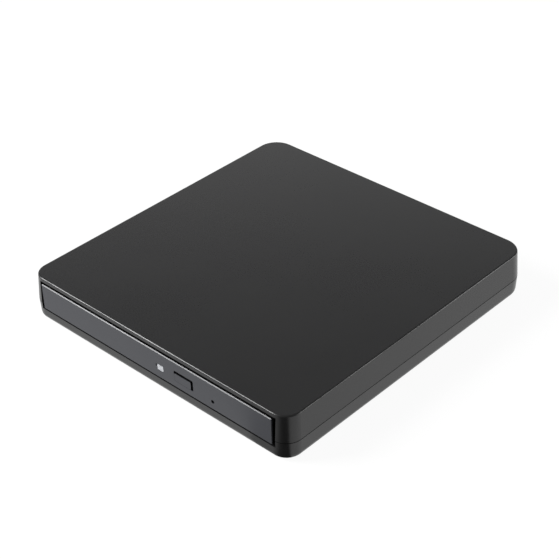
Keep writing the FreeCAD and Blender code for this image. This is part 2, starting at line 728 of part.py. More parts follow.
BOARD_PLACES = {
    "main_right": "pan_inner - main_side",  # right edge of the main board
    "main_back_y": "pan_back_y - pan_sheet - main_back_gap",  # rear edge of the main board
    "main_front_y": "main_back_y - main_depth",  # front edge of the main board
    "main_z": "pan_floor_z + stud_height",  # underside of the main board
    "main_top_z": "main_z + board_thick",  # top of the main board
    "socket_back_y": "pan_back_y + socket_proud",  # rear face of the data socket
    "socket_front_y": "socket_back_y - socket_depth",  # front face of the data socket
    "foam_half": "disc_radius - foam_end_gap",  # foam strip, half its length
    "lug_in": "pan_inner - lug_width",  # inner end of the lugs
    "lug_x": "pan_inner - lug_width / 2",  # lid screws
    "lug_front_y": "pan_front_y + lug_front",  # front lid screws
    "lug_back_y": "pan_back_y - lug_back",  # rear lid screws
}
define(BOARD_SIZES, BOARD_PLACES)
LUGS = [(side, place) for side in (-1, 1) for place in ("lug_front_y", "lug_back_y")]


def drive_pan():
    """Steel pan: floor, two sides and a back, with lugs for the lid and studs for the main board."""
    outer = block(
        "pan_outer", ("-pan_half", "pan_half"), ("pan_front_y", "pan_back_y"), ("drive_z", "lid_under_z"),
    )
    inner = block(
        "pan_hollow", ("-pan_inner", "pan_inner"), ("pan_front_y - pan_sheet", "pan_back_y - pan_sheet"),
        ("pan_floor_z", "lid_under_z + pan_sheet"),
    )
    grown = [cut("pan_folded", outer, inner)]
    for number, (side, y) in enumerate(LUGS):
        grown.append(
            block(
                f"lug_{number}", across(side, "lug_in", "pan_half"),
                (f"{y} - lug_length / 2", f"{y} + lug_length / 2"),
                ("lid_under_z - pan_sheet", "lid_under_z"),
            )
        )
    for x in ("-main_left + stud_inset", "main_right - stud_inset"):
        for y in ("main_front_y + stud_inset", "main_back_y - stud_inset"):
            grown.append(cylinder("stud", "stud_radius", x, y, ("drive_z", "main_z")))
    notch = "socket_half + socket_margin"
    taken = [
        block(
            "pan_notch", (f"-({notch})", notch), ("pan_back_y - pan_sheet - over", "pan_back_y + over"),
            ("main_z", "main_top_z + socket_height + socket_margin"),
        )
    ]
    for number, (side, y) in enumerate(EARS):
        taken.append(
            cylinder(
                f"pan_hole_{number}", "mount_shank + screw_fit",
                across(side, "pan_inner - pan_sheet", "pan_half + pan_sheet"), y, "mount_z",
            )
        )
    for number, (side, y) in enumerate(LUGS):
        taken.append(cylinder(f"lug_hole_{number}", "lid_screw_shank + screw_fit", f"{side} * lug_x", y,
                              ("lid_under_z - pan_sheet - over", "drive_top_z")))
    keep(cut("pan", fuse("pan_solid", *grown), *taken), "drive_pan")


def drive_lid():
    """Steel lid with its folded sides, its screws, and two foam strips under the housing's top."""
    outer = block(
        "lid_outer", ("-bezel_half", "bezel_half"), ("pan_front_y", "pan_back_y"),
        ("drive_top_z - lid_skirt", "drive_top_z"),
    )
    inner = block(
        "lid_inner", ("-pan_half", "pan_half"), ("pan_front_y - lid_sheet", "pan_back_y + lid_sheet"),
        ("drive_top_z - lid_skirt - over", "lid_under_z"),
    )
    holes = [
        cylinder(
            f"lid_hole_{number}", "lid_screw_shank + screw_fit", f"{side} * lug_x", y,
            ("lid_under_z - lid_sheet", "drive_top_z + lid_sheet"),
        )
        for number, (side, y) in enumerate(LUGS)
    ]
    keep(cut("lid", outer, inner, *holes), "drive_lid")
    screws = [
        screw(
            f"lid_screw_{number}", f"{side} * lug_x", y, "drive_top_z", True, "lid_screw_head",
            "lid_screw_head_height", "lid_screw_shank", "lid_sheet + pan_sheet",
        )
        for number, (side, y) in enumerate(LUGS)
    ]
    keep(group("lid_screw_set", screws), "lid_screws")
    strips = [
        block(f"foam_{side + 1}", across(side, "foam_x - foam_width / 2", "foam_x + foam_width / 2"),
              ("-foam_half", "foam_half"), ("drive_top_z", "ceiling_z - foam_crush"))
        for side in (-1, 1)
    ]
    keep(group("foam_set", strips), "foam_strips")


def channel(name, side, outer, web, reach, outer_half, inner_half, y):
    """Returns a folded channel that opens towards the tray."""
    solid = block(
        f"{name}_outer", across(side, reach, outer), y,
        (f"slide_mid_z - {outer_half}", f"slide_mid_z + {outer_half}"),
    )
    hollow = block(
        f"{name}_hollow", across(side, f"{reach} - slide_gap", web),
        (f"{y[0]} - slide_gap", f"{y[1]} + slide_gap"),
        (f"slide_mid_z - {inner_half}", f"slide_mid_z + {inner_half}"),
    )
    return cut(name, solid, hollow)


def slides():
    """Fixed guides on the pan's sides, and the telescopic rails in them."""
    rail_y = ("slide_front_y", "slide_back_y")
    guide_y = ("slide_front_y - guide_extra", "slide_back_y + guide_extra")
    for side, hand in ((-1, "left"), (1, "right")):
        keep(
            channel(
                f"{hand}_guide_fold", side, "pan_inner", "guide_web", "pan_inner - guide_reach",
                "guide_outer_half", "guide_half", guide_y,
            ),
            f"{hand}_guide",
        )
        keep(
            channel(
                f"{hand}_rail_fold", side, "rail_outer", "rail_web", "rail_outer - rail_reach",
                "rail_outer_half", "rail_half", rail_y,
            ),
            f"{hand}_rail",
        )


CABLE_SIZES = {
    "chip_height": 1.1,  # large chips
    "main_chip_side": 12.0,  # main chip
    "memory_width": 7.0,  # memory chip across
    "memory_depth": 9.0,  # memory chip front to back
    "driver_side": 8.0,  # motor driver chip
    "chip_row_y": 8.0,  # chips behind the main board's front edge
    "main_chip_x": -14.0,  # main chip
    "memory_x": 2.0,  # memory chip
    "driver_x": 22.0,  # motor driver chip
    "ribbon_socket_width": 14.0,  # ribbon socket across
    "ribbon_socket_depth": 4.0,  # ribbon socket front to back
    "ribbon_socket_height": 1.4,  # ribbon socket
    "ribbon_side": 10.35,  # ribbon cable inside the tray's skirt
    "ribbon_width": 12.0,  # ribbon cable across
    "ribbon_thick": 0.15,  # ribbon cable
    "ribbon_setback": 32.2,  # ribbon's bend behind the pan's front
    "ribbon_end_gap": 27.9,  # ribbon's end ahead of the tray's back
    "ribbon_lay": 0.2,  # ribbon above the pan's floor
    "ribbon_rise_gap": 0.5,  # ribbon's riser ahead of the main board
    "converter_x": 9.0,  # converter chip
    "converter_side": 6.0,  # converter chip
    "converter_gap": 3.1,  # converter chip to the bridge board's rear edge
    "crystal_x": -2.5,  # crystal
    "crystal_length": 5.0,  # crystal
    "crystal_width": 2.2,  # crystal
    "crystal_height": 1.6,  # crystal
    "filler_side": 1.6,  # small parts
    "filler_height": 0.8,  # small parts
    "filler_pitch": 3.4,  # between small parts
}
CABLE_PLACES = {
    "ribbon_x": "skirt_inner - ribbon_side",  # ribbon cable
    "ribbon_front_y": "pan_front_y + ribbon_setback",  # ribbon's bend
    "ribbon_back_y": "tray_back_y - ribbon_end_gap",  # ribbon's end on the tray
    "ribbon_low_z": "pan_floor_z + ribbon_lay",  # ribbon's lower run
    "ribbon_high_z": "slab_z - ribbon_thick",  # ribbon's upper run
    "ribbon_bend": "(ribbon_high_z + ribbon_thick - ribbon_low_z) / 2",  # ribbon's bend, outer radius
}
define(CABLE_SIZES, CABLE_PLACES)
MAIN_FILLERS = 9
BRIDGE_FILLERS = 5


def chip(name, x, y, z, wide, deep, tall):
    """Returns a chip centred at a place on a board."""
    return block(
        name, (f"{x} - {wide} / 2", f"{x} + {wide} / 2"), (f"{y} - {deep} / 2", f"{y} + {deep} / 2"),
        (z, f"{z} + {tall}"),
    )


def main_board():
    """Main board on the pan's studs, its chips, data socket and ribbon cable."""
    keep(
        block(
            "main_board_sheet", ("-main_left", "main_right"), ("main_front_y", "main_back_y"),
            ("main_z", "main_top_z"),
        ),
        "main_board",
    )
    row = "main_front_y + chip_row_y"
    chips = [
        chip(
            "main_chip", "main_chip_x", row, "main_top_z", "main_chip_side", "main_chip_side",
            "chip_height",
        ),
        chip("memory_chip", "memory_x", row, "main_top_z", "memory_width", "memory_depth", "chip_height"),
        chip("driver_chip", "driver_x", row, "main_top_z", "driver_side", "driver_side", "chip_height"),
        chip(
            "ribbon_socket", "ribbon_x", "main_front_y + ribbon_socket_depth", "main_top_z",
            "ribbon_socket_width", "ribbon_socket_depth", "ribbon_socket_height",
        ),
    ]
    for number in range(MAIN_FILLERS):
        chips.append(
            chip(
                f"filler_{number}", f"main_chip_x - main_chip_side / 2 + {number} * filler_pitch",
                f"{row} + main_chip_side / 2 + filler_pitch", "main_top_z", "filler_side", "filler_side",
                "filler_height",
            )
        )
    keep(group("main_chips", chips), "main_board_chips")
    socket = block("socket_body", ("-socket_half", "socket_half"), ("socket_front_y", "socket_back_y"),
                   ("main_top_z", "main_top_z + socket_height"))
    hollow = block(
        "socket_hollow", ("-socket_half + socket_wall", "socket_half - socket_wall"),
        ("socket_back_y - plug_reach - plug_gap", "socket_back_y + plug_gap"),
        ("main_top_z + socket_wall - plug_gap", "main_top_z + socket_height - socket_wall + plug_gap"),
    )
    keep(cut("socket", socket, hollow), "data_socket")


def ribbon_cable():
    """Flat ribbon from the main board, forwards along the pan, round a bend and back under the tray."""
    bend_y = "ribbon_front_y + ribbon_bend"
    mid = "ribbon_low_z + ribbon_bend"
    sides = ("ribbon_x - ribbon_width / 2", "ribbon_x + ribbon_width / 2")
    riser_y = "main_front_y - ribbon_rise_gap"
    socket_y = "main_front_y + ribbon_socket_depth / 2"
    plug_z = "main_top_z + ribbon_socket_height / 2"
    low = block("ribbon_low", sides, (bend_y, riser_y), ("ribbon_low_z", "ribbon_low_z + ribbon_thick"))
    riser = block("ribbon_riser", sides, (f"{riser_y} - ribbon_thick", riser_y), ("ribbon_low_z", plug_z))
    plug = block(
        "ribbon_plug_in", sides, (f"{riser_y} - ribbon_thick", socket_y),
        (f"{plug_z} - ribbon_thick", plug_z),
    )
    high = block(
        "ribbon_high", sides, (bend_y, "ribbon_back_y"), ("ribbon_high_z", "ribbon_high_z + ribbon_thick"),
    )
    turn = ring("ribbon_turn", "ribbon_bend", "ribbon_bend - ribbon_thick", sides, bend_y, mid)
    behind = block(
        "ribbon_behind", sides, (bend_y, f"{bend_y} + ribbon_bend + over"),
        ("ribbon_low_z - ribbon_lay", "slab_z + ribbon_lay"),
    )
    keep(fuse("ribbon", low, riser, plug, high, cut("ribbon_front_turn", turn, behind)), "ribbon_cable")


def bridge_board():
    """Board behind the drive: data plug, converter chip and the cord inlet."""
    half = "bridge_width / 2"
    sheet = block(
        "bridge_sheet", (f"-{half}", half), ("bridge_front_y", "bridge_back_y"),
        ("bridge_z", "bridge_top_z"),
    )
    holes = [
        cylinder(
            f"bridge_hole_{side + 1}", "board_screw_shank + board_hole_gap", f"{side} * board_post_x",
            "post_y", ("bridge_z - bridge_thick", "bridge_top_z + bridge_thick"),
        )
        for side in (-1, 1)
    ]
    keep(cut("bridge", sheet, *holes), "bridge_board")
    screws = [
        screw(
            f"board_screw_{side + 1}", f"{side} * board_post_x", "post_y", "bridge_top_z", True,
            "board_screw_head", "board_screw_head_height", "board_screw_shank", "board_screw_length",
        )
        for side in (-1, 1)
    ]
    keep(group("board_screw_set", screws), "board_screws")
    row = "bridge_back_y - converter_side / 2 - converter_gap"
    chips = [
        chip(
            "converter", "converter_x", row, "bridge_top_z", "converter_side", "converter_side",
            "chip_height",
        ),
        chip(
            "crystal", "crystal_x", row, "bridge_top_z", "crystal_length", "crystal_width",
            "crystal_height",
        ),
    ]
    for number in range(BRIDGE_FILLERS):
        chips.append(
            chip(
                f"bridge_filler_{number}", f"converter_x + ({number} - 1) * filler_pitch",
                "bridge_back_y - filler_side", "bridge_top_z", "filler_side", "filler_side",
                "filler_height",
            )
        )
    keep(group("bridge_chips", chips), "bridge_board_chips")
    plug_back = "socket_back_y + plug_gap + plug_depth"
    body = block(
        "plug_body", ("-socket_half + socket_wall / 2", "socket_half - socket_wall / 2"),
        ("socket_back_y + plug_gap", plug_back), ("bridge_top_z", "main_top_z + socket_height"),
    )
    tongue = block(
        "plug_tongue", ("-socket_half + socket_wall + plug_gap", "socket_half - socket_wall - plug_gap"),
        ("socket_back_y - plug_reach", "socket_back_y + plug_gap"),
        ("main_top_z + socket_wall", "main_top_z + socket_height - socket_wall"),
    )
    keep(fuse("plug", body, tongue), "data_plug")
    wide, tall = "inlet_width / 2", "inlet_height / 2"
    tube = Body("inlet_tube").pad(
        "y",
        polygon(
            (f"inlet_x - {wide}", f"inlet_mid_z + {tall}"), (f"inlet_x - {wide}", "inlet_mid_z"),
            (f"inlet_x - {wide} + inlet_slope", f"inlet_mid_z - {tall}"),
            (f"inlet_x + {wide} - inlet_slope", f"inlet_mid_z - {tall}"),
            (f"inlet_x + {wide}", "inlet_mid_z"), (f"inlet_x + {wide}", f"inlet_mid_z + {tall}"),
        ),
        "inlet_mouth_y - inlet_length", "inlet_mouth_y",
    )
    wide, tall = "(inlet_width / 2 - inlet_sheet)", "(inlet_height / 2 - inlet_sheet)"
    tube.pocket(
        "y",
        polygon(
            (f"inlet_x - {wide}", f"inlet_mid_z + {tall}"), (f"inlet_x - {wide}", "inlet_mid_z"),
            (f"inlet_x - {wide} + inlet_slope", f"inlet_mid_z - {tall}"),
            (f"inlet_x + {wide} - inlet_slope", f"inlet_mid_z - {tall}"),
            (f"inlet_x + {wide}", "inlet_mid_z"), (f"inlet_x + {wide}", f"inlet_mid_z + {tall}"),
        ),
        "inlet_mouth_y - inlet_length + inlet_sheet", "inlet_mouth_y + inlet_sheet",
    )
    keep(tube.item, "inlet_shell")
    keep(
        block(
            "inlet_tongue_block", ("inlet_x - inlet_tongue_width / 2", "inlet_x + inlet_tongue_width / 2"),
            ("inlet_mouth_y - inlet_length + inlet_sheet", "inlet_mouth_y - inlet_tongue_setback"),
            ("inlet_mid_z + inlet_sheet / 2", "inlet_mid_z + inlet_sheet / 2 + inlet_tongue_thick"),
        ),
        "inlet_tongue",
    )


# Ejector behind the tray, and the pin that the latch hook takes

EJECTOR_SIZES = {
    "latch_side": 12.85,  # latch pivot inside the tray's skirt
    "latch_setback": 8.2,  # latch pivot behind the bezel
    "pin_reach_x": 6.0,  # latch pin beside the pivot
    "pin_reach_y": 10.0,  # latch pin behind the pivot
    "latch_pin_radius": 1.0,  # latch pin
    "latch_pin_height": 4.0,  # latch pin above the pan's floor
    "latch_pin_foot": 2.0,  # latch pin's foot, radius
    "latch_pin_foot_height": 0.5,  # latch pin's foot
    "ejector_side": 10.85,  # ejector inside the tray's skirt
    "ejector_setback": 34.5,  # ejector's tip ahead of the pan's back
    "ejector_length": 32.0,  # ejector rod
    "ejector_radius": 1.0,  # ejector rod
    "ejector_collar": 1.8,  # collar on the ejector, radius
    "ejector_collar_length": 1.2,  # collar on the ejector
    "ejector_collar_setback": 2.4,  # collar behind the ejector's tip
    "ejector_rise": 3.8,  # ejector above the pan's floor
    "bracket_place": 18.0,  # ejector's bracket behind its tip
    "bracket_width": 6.0,  # ejector's bracket across
    "bracket_thick": 2.0,  # ejector's bracket along
    "bracket_height": 5.5,  # ejector's bracket
    "running_fit": 0.08,  # shaft to its hole
    "spring_gap": 0.25,  # ejector spring to the rod
    "spring_wire": 0.5,  # ejector spring's wall
    "tab_thick": 1.2,  # tray's tab ahead of the ejector
    "tab_width": 4.0,  # tray's tab across
    "tab_gap": 0.3,  # tray's tab to the ejector
    "tab_height": 3.6,  # tray's tab below the tray's floor
}
EJECTOR_PLACES = {
    "pivot_x": "skirt_inner - latch_side",  # latch pivot
    "pivot_y": "bezel_back_y + latch_setback",  # latch pivot
    "latch_pin_x": "pivot_x - pin_reach_x",  # latch pin
    "latch_pin_y": "pivot_y + pin_reach_y",  # latch pin
    "ejector_x": "skirt_inner - ejector_side",  # ejector, left of the middle
    "ejector_front": "pan_back_y - ejector_setback",  # ejector's tip
    "ejector_z": "pan_floor_z + ejector_rise",  # ejector
    "bracket_y": "ejector_front + bracket_place",  # front of the ejector's bracket
}
define(EJECTOR_SIZES, EJECTOR_PLACES)


def latch_pin():
    """Headless pin riveted to the pan near its front."""
    foot = cylinder(
        "pin_foot", "latch_pin_foot", "latch_pin_x", "latch_pin_y",
        ("pan_floor_z", "pan_floor_z + latch_pin_foot_height"),
    )
    stem = cylinder(
        "pin_stem", "latch_pin_radius", "latch_pin_x", "latch_pin_y",
        ("pan_floor_z", "pan_floor_z + latch_pin_height"),
    )
    keep(fuse("pin", foot, stem), "latch_pin")


def ejector():
    """Sprung rod that pushes the tray out a little, in its bracket on the pan."""
    collar_y = "ejector_front + ejector_collar_setback"
    rod = cylinder(
        "ejector_stem", "ejector_radius", "-ejector_x", ("ejector_front", "ejector_front + ejector_length"),
        "ejector_z",
    )
    collar = cylinder(
        "ejector_ring", "ejector_collar", "-ejector_x",
        (f"{collar_y}", f"{collar_y} + ejector_collar_length"), "ejector_z",
    )
    keep(fuse("ejector", rod, collar), "ejector_rod")
    coil = ring(
        "ejector_coil", "ejector_radius + spring_gap + spring_wire", "ejector_radius + spring_gap",
        "-ejector_x", (f"{collar_y} + ejector_collar_length", "bracket_y"), "ejector_z",
    )
    keep(coil, "ejector_spring")
    stand = block("bracket_block", ("-ejector_x - bracket_width / 2", "-ejector_x + bracket_width / 2"),
                  ("bracket_y", "bracket_y + bracket_thick"), ("pan_floor_z", "pan_floor_z + bracket_height"))
    bore = cylinder(
        "bracket_bore", "ejector_radius + running_fit", "-ejector_x",
        ("bracket_y - tab_gap", "bracket_y + bracket_thick + tab_gap"), "ejector_z",
    )
    keep(cut("bracket", stand, bore), "ejector_bracket")


# Traverse: the frame under the tray that carries motors, guide rods and laser sled. It is drawn with
# its origin at the spindle and +X along the sled's travel, and turned into place as a whole.

TRAVERSE_FRAME_SIZES = {
    "traverse_angle": 225.0,  # sled's travel, from +X
    "frame_back": 25.0,  # frame behind the spindle
    "lens_start": 23.0,  # lens from the spindle, at rest
    "disc_edge": 2.0,  # lens's outer end inside the disc's edge
    "cover_margin": 4.8,  # cover's raised part beyond the lens's outer end
    "frame_margin": 3.4,  # frame beyond the cover's raised part
    "frame_left": 22.3,  # frame on the screw's side
    "frame_right": 20.0,  # frame on the plain side
    "frame_corner": 4.0,  # frame's bevelled corners
    "frame_wall": 1.4,  # frame's walls
    "frame_lift": 0.55,  # frame above the pan's floor
    "frame_height": 4.6,  # frame
    "frame_floor": 0.7,  # frame's floor under the motor
    "motor_bay": 10.4,  # frame's floor ahead of the spindle
    "cover_sheet": 0.5,  # traverse cover
    "cover_rise": 1.5,  # traverse cover's raised part above the frame
    "cover_back": 18.0,  # raised part behind the spindle
    "cover_left": 16.0,  # raised part on the screw's side
    "cover_right": 14.0,  # raised part on the plain side
    "cover_corner": 5.0,  # raised part's bevelled corners
    "window_gap": 0.4,  # raised part to the tray's window
    "turntable_radius": 14.3,  # turntable
    "turntable_gap": 0.5,  # turntable to the cover
    "slot_start": 15.2,  # lens slot from the spindle
    "slot_end_wall": 0.7,  # lens slot to the cover's end
    "slot_half": 6.6,  # lens slot, half its width
    "rod_radius": 1.0,  # guide rods
    "rod_rise": 2.4,  # guide rods above the frame's underside
    "rod_start": 9.0,  # guide rods' inner end
    "rod_stop": 2.2,  # guide rods' outer end inside the frame
    "rod_left": 18.5,  # guide rod on the screw's side
    "rod_right": 17.0,  # guide rod on the plain side
    "seat_length": 1.8,  # rod seats
    "seat_side": 3.2,  # rod seats across
    "clamp_length": 3.4,  # rod clamps
    "clamp_thick": 0.4,  # rod clamps
}
TRAVERSE_FRAME_PLACES = {
    "lens_travel": "disc_radius - disc_edge - lens_start",  # sled's travel
    "cover_front": "lens_start + lens_travel + cover_margin",  # raised part ahead of the spindle
    "frame_front": "cover_front + frame_margin",  # frame ahead of the spindle
    "frame_z": "pan_floor_z + frame_lift",  # underside of the frame
    "frame_top_z": "frame_z + frame_height",  # top of the frame
    "cover_top_z": "frame_top_z + cover_rise",  # top of the traverse cover
    "rod_z": "frame_z + rod_rise",  # guide rods
    "rod_end": "frame_front - rod_stop",  # guide rods' outer end
    "slot_end": "cover_front - slot_end_wall",  # lens slot's outer end
    "cover_hole": "turntable_radius + turntable_gap",  # hole for the turntable
}
define(TRAVERSE_FRAME_SIZES, TRAVERSE_FRAME_PLACES)

ISOLATOR_SIZES = {
    "lug_neck": 2.1,  # isolator's neck, radius
    "lug_round": 3.8,  # frame's ears, radius
    "lug_thick": 1.2,  # frame's ears
    "lug_rise": 1.6,  # frame's ears above its underside
    "isolator_radius": 3.0,  # isolators
    "isolator_flange": 0.7,  # isolators' flanges
    "isolator_bore": 1.3,  # isolators' bore, radius
    "isolator_screw_head": 2.0,  # isolator screw head, radius
    "isolator_screw_head_height": 0.7,  # isolator screw head
    "isolator_screw_shank": 0.9,  # isolator screw shank, radius
    "isolator_screw_extra": 1.0,  # isolator screw into its post
    "post_hole_extra": 1.5,  # isolator screw's hole in its post
    "web_reach": 4.8,  # frame's webs from the isolators inwards
    "isolator_post": 2.4,  # tray's isolator posts, radius
    "ear_out": 3.2,  # isolators outside the frame's walls
    "ear_left": 40.0,  # isolator on the screw's side, from the spindle
    "ear_right": 30.0,  # isolator on the plain side, from the spindle
}
ISOLATOR_PLACES = {
    "lug_z": "frame_z + lug_rise",  # underside of the frame's ears
    "lug_top_z": "lug_z + lug_thick",  # top of the frame's ears
    "isolator_z": "lug_z - isolator_flange",  # underside of the isolators
    "isolator_top_z": "lug_top_z + isolator_flange",  # top of the isolators
}
define(ISOLATOR_SIZES, ISOLATOR_PLACES)
ISOLATORS = [
    ("-(frame_back + ear_out)", "0"),
    ("ear_left", "frame_left + ear_out"),
    ("ear_right", "-(frame_right + ear_out)"),
]
TRAVERSE = {"y": "spindle_y", "turn": "traverse_angle"}
RODS = {"front": "rod_left", "rear": "-rod_right"}


def bevelled(back, front, right, left, bevel):
    """Returns a plan drawing of a rectangle with bevelled corners, from four distances to the spindle."""
    return polygon(
        (f"-({back}) + {bevel}", f"-({right})"), (f"{front} - {bevel}", f"-({right})"),
        (front, f"-({right}) + {bevel}"), (front, f"{left} - {bevel}"), (f"{front} - {bevel}", left),
        (f"-({back}) + {bevel}", left), (f"-({back})", f"{left} - {bevel}"),
        (f"-({back})", f"-({right}) + {bevel}"),
    )


def raised_plan(outset):
    """Returns the plan of the traverse cover's raised part, drawn out by an outset."""
    return bevelled(
        *(f"{size} + ({outset})" for size in ("cover_back", "cover_front", "cover_right", "cover_left")),
        "cover_corner",
    )


def frame_plan(inset):
    """Returns the plan of the traverse frame, drawn in by an inset."""
    return bevelled(
        *(f"{size} - ({inset})" for size in ("frame_back", "frame_front", "frame_right", "frame_left")),
        "frame_corner",
    )


STEPPER_SIZES = {
    "stepper_radius": 2.2,  # stepper motor
    "stepper_length": 10.0,  # stepper motor
    "stepper_start": -3.2,  # stepper motor's rear from the spindle
    "cradle_wall": 0.7,  # stepper motor's cradle
    "stepper_tail": 1.2,  # stepper motor's contacts behind it
    "lead_y": 15.2,  # lead screw from the spindle
    "lead_radius": 1.0,  # lead screw
    "lead_journal": 0.6,  # lead screw's end journals, radius
    "journal_length": 1.2,  # lead screw's inner journal
}
STEPPER_PLACES = {
    "lead_z": "rod_z",  # lead screw
    "lead_start": "stepper_start + stepper_length + running_fit",  # lead screw's inner end
}
define(STEPPER_SIZES, STEPPER_PLACES)


def traverse_frame():
    """Ring-shaped frame with ears for the isolators, rod seats and a floor under the spindle motor."""
    walls = Body("frame_walls").pad("z", frame_plan("0"), "frame_z", "frame_top_z").pocket(
        "z", frame_plan("frame_wall"), "frame_z", "frame_top_z").item
    floor = cut(
        "frame_floor_plate",
        Body("frame_floor_form").pad(
            "z", frame_plan("frame_wall / 2"), "frame_z", "frame_z + frame_floor",
        ).item,
        block(
            "frame_gap", ("motor_bay", "frame_front"), ("-frame_left", "frame_left"),
            ("frame_z - frame_floor", "frame_top_z"),
        ),
    )
    grown = [walls, floor]
    for number, (u, v) in enumerate(ISOLATORS):
        inward = (f"{u} + web_reach", v) if number == 0 else (u, f"{v} * (1 - web_reach / abs({v}))")
        grown.append(cylinder(f"frame_ear_{number}", "lug_round", u, v, ("lug_z", "lug_top_z")))
        low = [min((first, second), key=value) for first, second in zip((u, v), inward)]
        high = [max((first, second), key=value) for first, second in zip((u, v), inward)]
        if number == 0:
            low[1], high[1] = "-lug_round", "lug_round"
        else:
            low[0], high[0] = f"{u} - lug_round", f"{u} + lug_round"
        grown.append(
            block(f"frame_web_{number}", (low[0], high[0]), (low[1], high[1]), ("lug_z", "lug_top_z"))
        )
    inside = block(
        "frame_inside", ("-frame_back + frame_wall", "frame_front - frame_wall"),
        ("-frame_right + frame_wall", "frame_left - frame_wall"),
        ("lug_z - lug_thick", "lug_top_z + lug_thick"),
    )
    ears = cut("frame_ears", fuse("frame_ears_solid", *grown[2:]), inside)
    seats = []
    for name, v in RODS.items():
        seats.append(
            block(
                f"rod_seat_{name}", ("rod_start - seat_length / 2", "rod_start + seat_length / 2"),
                (f"{v} - seat_side / 2", f"{v} + seat_side / 2"), ("frame_z", "rod_z + rod_radius"),
            )
        )
    seats.append(
        block(
            "cradle", ("stepper_start", "stepper_start + stepper_length"),
            ("lead_y - stepper_radius - cradle_wall", "lead_y + stepper_radius + cradle_wall"),
            ("frame_z", "lead_z"),
        )
    )
    taken = [cylinder(f"frame_eye_{number}", "lug_neck", u, v, ("lug_z - lug_thick", "lug_top_z + lug_thick"))
             for number, (u, v) in enumerate(ISOLATORS)]
    for name, v in RODS.items():
        taken.append(cylinder(f"rod_way_{name}", "rod_radius", ("rod_start", "rod_end"), v, "rod_z"))
        taken.append(
            block(
                f"rod_drop_{name}", ("rod_start", "rod_end"), (f"{v} - rod_radius", f"{v} + rod_radius"),
                ("rod_z", "rod_z + rod_radius + over"),
            )
        )
    taken.append(
        cylinder(
            "stepper_bed", "stepper_radius", ("stepper_start", "stepper_start + stepper_length"), "lead_y",
            "lead_z",
        )
    )
    taken.append(
        cylinder(
            "lead_bearing", "lead_journal + running_fit",
            ("frame_front - frame_wall - over", "frame_front"), "lead_y", "lead_z",
        )
    )
    keep(
        cut("frame_solid", fuse("frame_grown", walls, floor, ears, *seats), *taken), "traverse_frame",
        **TRAVERSE,
    )


def traverse_cover():
    """Sheet cover on the frame, raised where it fills the tray's window, open for turntable and lens."""
    sheet = Body("cover_flange").pad("z", frame_plan("0"), "frame_top_z", "frame_top_z + cover_sheet").item
    raised = Body("cover_raised").pad("z", raised_plan("0"), "frame_top_z", "cover_top_z").item
    under = Body("cover_under").pad(
        "z", raised_plan("-cover_sheet"), "frame_top_z - cover_sheet", "cover_top_z - cover_sheet",
    ).item
    hole = cylinder(
        "cover_eye", "cover_hole", "0", "0", ("frame_top_z - cover_sheet", "cover_top_z + cover_sheet"),
    )
    slot = block(
        "cover_slot", ("slot_start - turntable_gap", "slot_end"), ("-slot_half", "slot_half"),
        ("frame_top_z - cover_sheet", "cover_top_z + cover_sheet"),
    )
    keep(
        cut("cover_solid", fuse("cover_grown", sheet, raised), under, hole, slot), "traverse_cover",
        **TRAVERSE,
    )


def traverse_hardware():
    """Isolators with their screws, guide rods with their clamps, and the stepper motor."""
    rubbers, screws = [], []
    for number, (u, v) in enumerate(ISOLATORS):
        rubbers.append(
            turned(
                f"isolator_{number}", ("isolator_bore", "isolator_z"), ("isolator_radius", "isolator_z"),
                ("isolator_radius", "lug_z"), ("lug_neck", "lug_z"), ("lug_neck", "lug_top_z"),
                ("isolator_radius", "lug_top_z"), ("isolator_radius", "isolator_top_z"),
                ("isolator_bore", "isolator_top_z"), x=u, y=v,
            )
        )
        screws.append(
            screw(
                f"isolator_screw_{number}", u, v, "isolator_z", False, "isolator_screw_head",
                "isolator_screw_head_height", "isolator_screw_shank",
                "isolator_top_z - isolator_z + isolator_screw_extra",
            )
        )
    keep(group("isolator_set", rubbers), "isolators", **TRAVERSE)
    keep(group("isolator_screw_set", screws), "isolator_screws", **TRAVERSE)
    rods, clamps = [], []
    for name, v in RODS.items():
        rods.append(cylinder(f"rod_{name}", "rod_radius", ("rod_start", "rod_end"), v, "rod_z"))
        clamps.append(
            block(
                f"clamp_{name}",
                ("rod_start - seat_length / 2", "rod_start - seat_length / 2 + clamp_length"),
                (f"{v} - seat_side / 2", f"{v} + seat_side / 2"),
                ("rod_z + rod_radius", "rod_z + rod_radius + clamp_thick"),
            )
        )
    keep(group("rod_set", rods), "guide_rods", **TRAVERSE)
    keep(group("clamp_set", clamps), "rod_clamps", **TRAVERSE)
    can = cylinder(
        "stepper_can", "stepper_radius", ("stepper_start", "stepper_start + stepper_length"), "lead_y",
        "lead_z",
    )
    socket = cylinder(
        "stepper_socket", "lead_journal + running_fit",
        ("lead_start - journal_length", "stepper_start + stepper_length"), "lead_y", "lead_z",
    )
    tail = block(
        "stepper_contacts", ("stepper_start - stepper_tail", "stepper_start"),
        ("lead_y - stepper_radius / 2", "lead_y + stepper_radius / 2"),
        ("lead_z - stepper_radius / 2", "lead_z"),
    )
    keep(cut("stepper", fuse("stepper_solid", can, tail), socket), "stepper_motor", **TRAVERSE)


